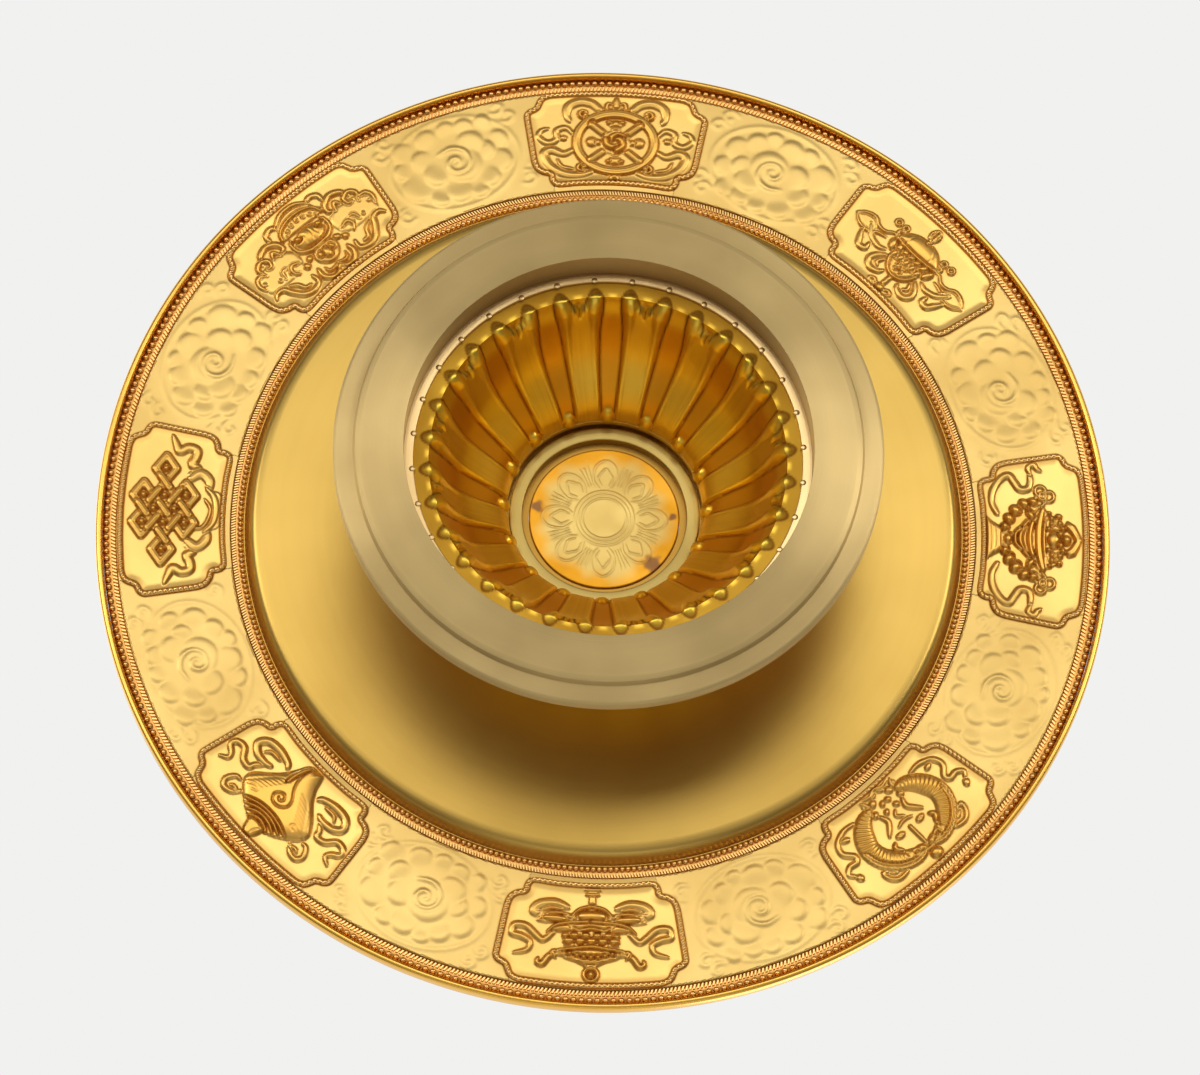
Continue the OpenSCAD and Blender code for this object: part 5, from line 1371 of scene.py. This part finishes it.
def medal_lotus(r):
    line = dict(height=LINE_H, both=False, groove=0.3)
    for radius in (5.4, 6.3, 7.2):
        r.ringlet((0, 0), radius, radius, 0.6, LINE_H, False, groove=0.3)
    for k in range(8):
        def spot(radius, degrees):
            return polar(radius, 45 * k + degrees)
        for degrees in (18, 22.5, 27):
            r.ribbon([spot(9, degrees), spot(11.6, 22.5 + 0.8 * (degrees - 22.5)), spot(14.4, degrees)], 0.6, **line)
        for low_a, start_r, tip_r in ((15.5, 7.9, 15.4), (9.5, 8.6, 13.2)):
            r.ribbon([spot(start_r, -low_a * 0.6), spot(10.6, -low_a), spot(tip_r - 1.4, -low_a * 0.62), spot(tip_r, 0),
                      spot(tip_r - 1.4, low_a * 0.62), spot(10.6, low_a), spot(start_r, low_a * 0.6)], 0.6, **line)


face = dense([(0, 0), (MEDAL_R - MEDAL_ROUND, 0)], 0.22)[:, 0]
edge_low = arc((MEDAL_R - MEDAL_ROUND, MEDAL_LOW + MEDAL_ROUND), MEDAL_ROUND, -90, 0, 4)
edge_high = arc((MEDAL_R - MEDAL_ROUND, MEDAL_HIGH - MEDAL_ROUND), MEDAL_ROUND, 0, 90, 4)
profile = np.vstack([np.column_stack([face, np.full(len(face), MEDAL_LOW)])[:-1], edge_low, edge_high,
                     np.column_stack([face[::-1], np.full(len(face), MEDAL_HIGH)])[1:]])
angle = np.arange(MEDAL_AROUND) * math.tau / MEDAL_AROUND
from_axis = profile[:, :1]
drawing = Relief(from_axis * np.cos(angle), from_axis * np.sin(angle))
medal_lotus(drawing)
height = drawing.h * (from_axis < MEDAL_R - 1)
tongues = np.sin(5 * angle + 1) + 0.6 * np.sin(11 * angle) + 0.5 * np.sin(17 * angle + 2)
patina_and_highlight = np.clip((from_axis - 13.6 + 0.9 * tongues[None, :]) / 3.5, 0, 1)
crevice = np.zeros_like(height)
under_side = profile[:, 1:] < (MEDAL_LOW + MEDAL_HIGH) / 2
for x, y, size in STAINS:
    uneven = 1 + 0.25 * np.sin(1.9 * drawing.x) * np.cos(2.3 * drawing.y)
    spread = np.hypot(drawing.x - x, drawing.y - y) / (size * uneven)
    crevice = np.maximum(crevice, 0.85 * ease((1.4 - spread) / 0.9) * under_side)
# The raised lines keep less of the orange, so they read paler: a painted highlight on the lines.
patina_and_highlight = patina_and_highlight * (1 - 0.6 * np.clip(height / LINE_H, 0, 1))
medal = spun_relief(profile, MEDAL_AROUND, height, crevice, patina_and_highlight)
settle("medallion", medal, "plate", "medallion_brass", "medallion", sharp=math.radians(60))

# %% [markdown]
# The camera stands below the plate's foot and looks up at its underside, a little from one side, through a
# long lens. Its turn is built from three measured angles: how far the foot leans right and up in the
# picture, and how far the plate is rolled about its own axis.

# %% Camera
LEAN_RIGHT, LEAN_UP, ROLL = 0.0248, 0.3933, math.radians(2.2)
VIEW_DISTANCE, LENS, SENSOR = 1300, 158.3, 36
RIM_CENTRE_IN_VIEW = Vector((0.96, 3.56, 0))
foot_way = Vector((math.sin(LEAN_RIGHT), math.sin(LEAN_UP), 0))
foot_way.z = math.sqrt(1 - foot_way.length_squared)
right = Vector((0, 1, 0)).cross(foot_way).normalized()
up = foot_way.cross(right)
part_x = -(math.cos(ROLL) * right - math.sin(ROLL) * up)
part_y = math.sin(ROLL) * right + math.cos(ROLL) * up
view_to_part = Matrix((part_x, part_y, -foot_way))
eye = Vector((0, 0, RIM_LOW)) + view_to_part @ (Vector((0, 0, VIEW_DISTANCE)) - RIM_CENTRE_IN_VIEW)
lens = bpy.data.cameras.new("photo_view")
lens.lens, lens.sensor_width, lens.sensor_fit = LENS, SENSOR, "HORIZONTAL"
lens.clip_end = 20
camera = bpy.data.objects.new("photo_view", lens)
camera.matrix_world = Matrix.Translation(eye * MM) @ view_to_part.to_4x4()
bpy.context.collection.objects.link(camera)
bpy.context.scene.camera = camera
print("camera at", [round(c, 3) for c in camera.location])

# %% [markdown]
# The floor is pale and plain. A camera above it sees it, with the plate's shadow on it. From below it is
# clear, because the main camera looks up through it, and light passes it both ways, so that the underside
# is lit as it would be on a stand. The world is pale above, dim below, and broad lamps on both sides of the
# floor give the gold its soft changes of tone.

# %% Floor
floor_bm = bmesh.new()
bmesh.ops.create_grid(floor_bm, x_segments=1, y_segments=1, size=9)
bmesh.ops.translate(floor_bm, vec=(0, 0, -0.00005), verts=floor_bm.verts[:])
floor_mesh = bpy.data.meshes.new("floor")
floor_bm.to_mesh(floor_mesh)
floor_bm.free()
floor = bpy.data.objects.new("floor", floor_mesh)
bpy.context.collection.objects.link(floor)
paper = bpy.data.materials.new("pale_floor")
paper.use_nodes = True
tree = paper.node_tree
tree.nodes["Principled BSDF"].inputs["Base Color"].default_value = (0.8, 0.79, 0.77, 1)
tree.nodes["Principled BSDF"].inputs["Roughness"].default_value = 0.9
clear = add(tree, "ShaderNodeBsdfTransparent")
either = add(tree, "ShaderNodeMixShader")
seen = add(tree, "ShaderNodeLightPath").outputs["Is Camera Ray"]
from_above = math_node(tree, "SUBTRACT", 1.0, add(tree, "ShaderNodeNewGeometry").outputs["Backfacing"])
wire(tree, math_node(tree, "MULTIPLY", seen, from_above), either.inputs[0])
wire(tree, clear.outputs[0], either.inputs[1])
wire(tree, tree.nodes["Principled BSDF"].outputs[0], either.inputs[2])
wire(tree, either.outputs[0], tree.nodes["Material Output"].inputs["Surface"])
floor_mesh.materials.append(paper)
print("floor ready")

# %% World and lamps
world = bpy.data.worlds.new("studio")
bpy.context.scene.world = world
world.use_nodes = True
tree = world.node_tree
split = add(tree, "ShaderNodeSeparateXYZ")
wire(tree, add(tree, "ShaderNodeTexCoord").outputs["Generated"], split.inputs[0])
below = remap(tree, split.outputs["Z"], -0.95, -0.4, 1.0, 0.0)
dim = mix_colour(tree, below, (0.13, 0.12, 0.11, 1), (0.55, 0.54, 0.53, 1))
above = remap(tree, split.outputs["Z"], 0.0, 0.3, 0.0, 1.0)
pale = mix_colour(tree, above, (0.72, 0.71, 0.69, 1), (0.88, 0.88, 0.87, 1))
height = remap(tree, split.outputs["Z"], -0.22, -0.02, 0.0, 1.0)
wire(tree, mix_colour(tree, height, dim, pale), tree.nodes["Background"].inputs["Color"])


def lamp(name, place, wide, tall, watts):
    light = bpy.data.lights.new(name, "AREA")
    light.shape, light.size, light.size_y, light.energy = "ELLIPSE", wide, tall, watts
    body = bpy.data.objects.new(name, light)
    way = Vector((0, 0, 0.03)) - Vector(place)
    body.matrix_world = Matrix.Translation(place) @ way.to_track_quat("-Z", "Y").to_matrix().to_4x4()
    bpy.context.collection.objects.link(body)


lamp("key_below", (0.1, 0.48, -1.4), 2.0, 0.75, 5.6)
lamp("fill_below", (1.1, 0.4, -0.9), 0.7, 0.7, 4.0)
lamp("side_below", (-1.1, 0.4, -0.9), 0.7, 0.7, 4.4)
lamp("front_below", (0.0, -1.3, -0.5), 1.4, 0.5, 1.5)
lamp("key_above", (-0.9, -1.0, 1.5), 1.2, 1.2, 9)
lamp("fill_above", (1.2, 0.6, 1.2), 1.4, 1.4, 4)
bpy.context.scene.view_settings.view_transform = "Standard"
print("lamps ready")
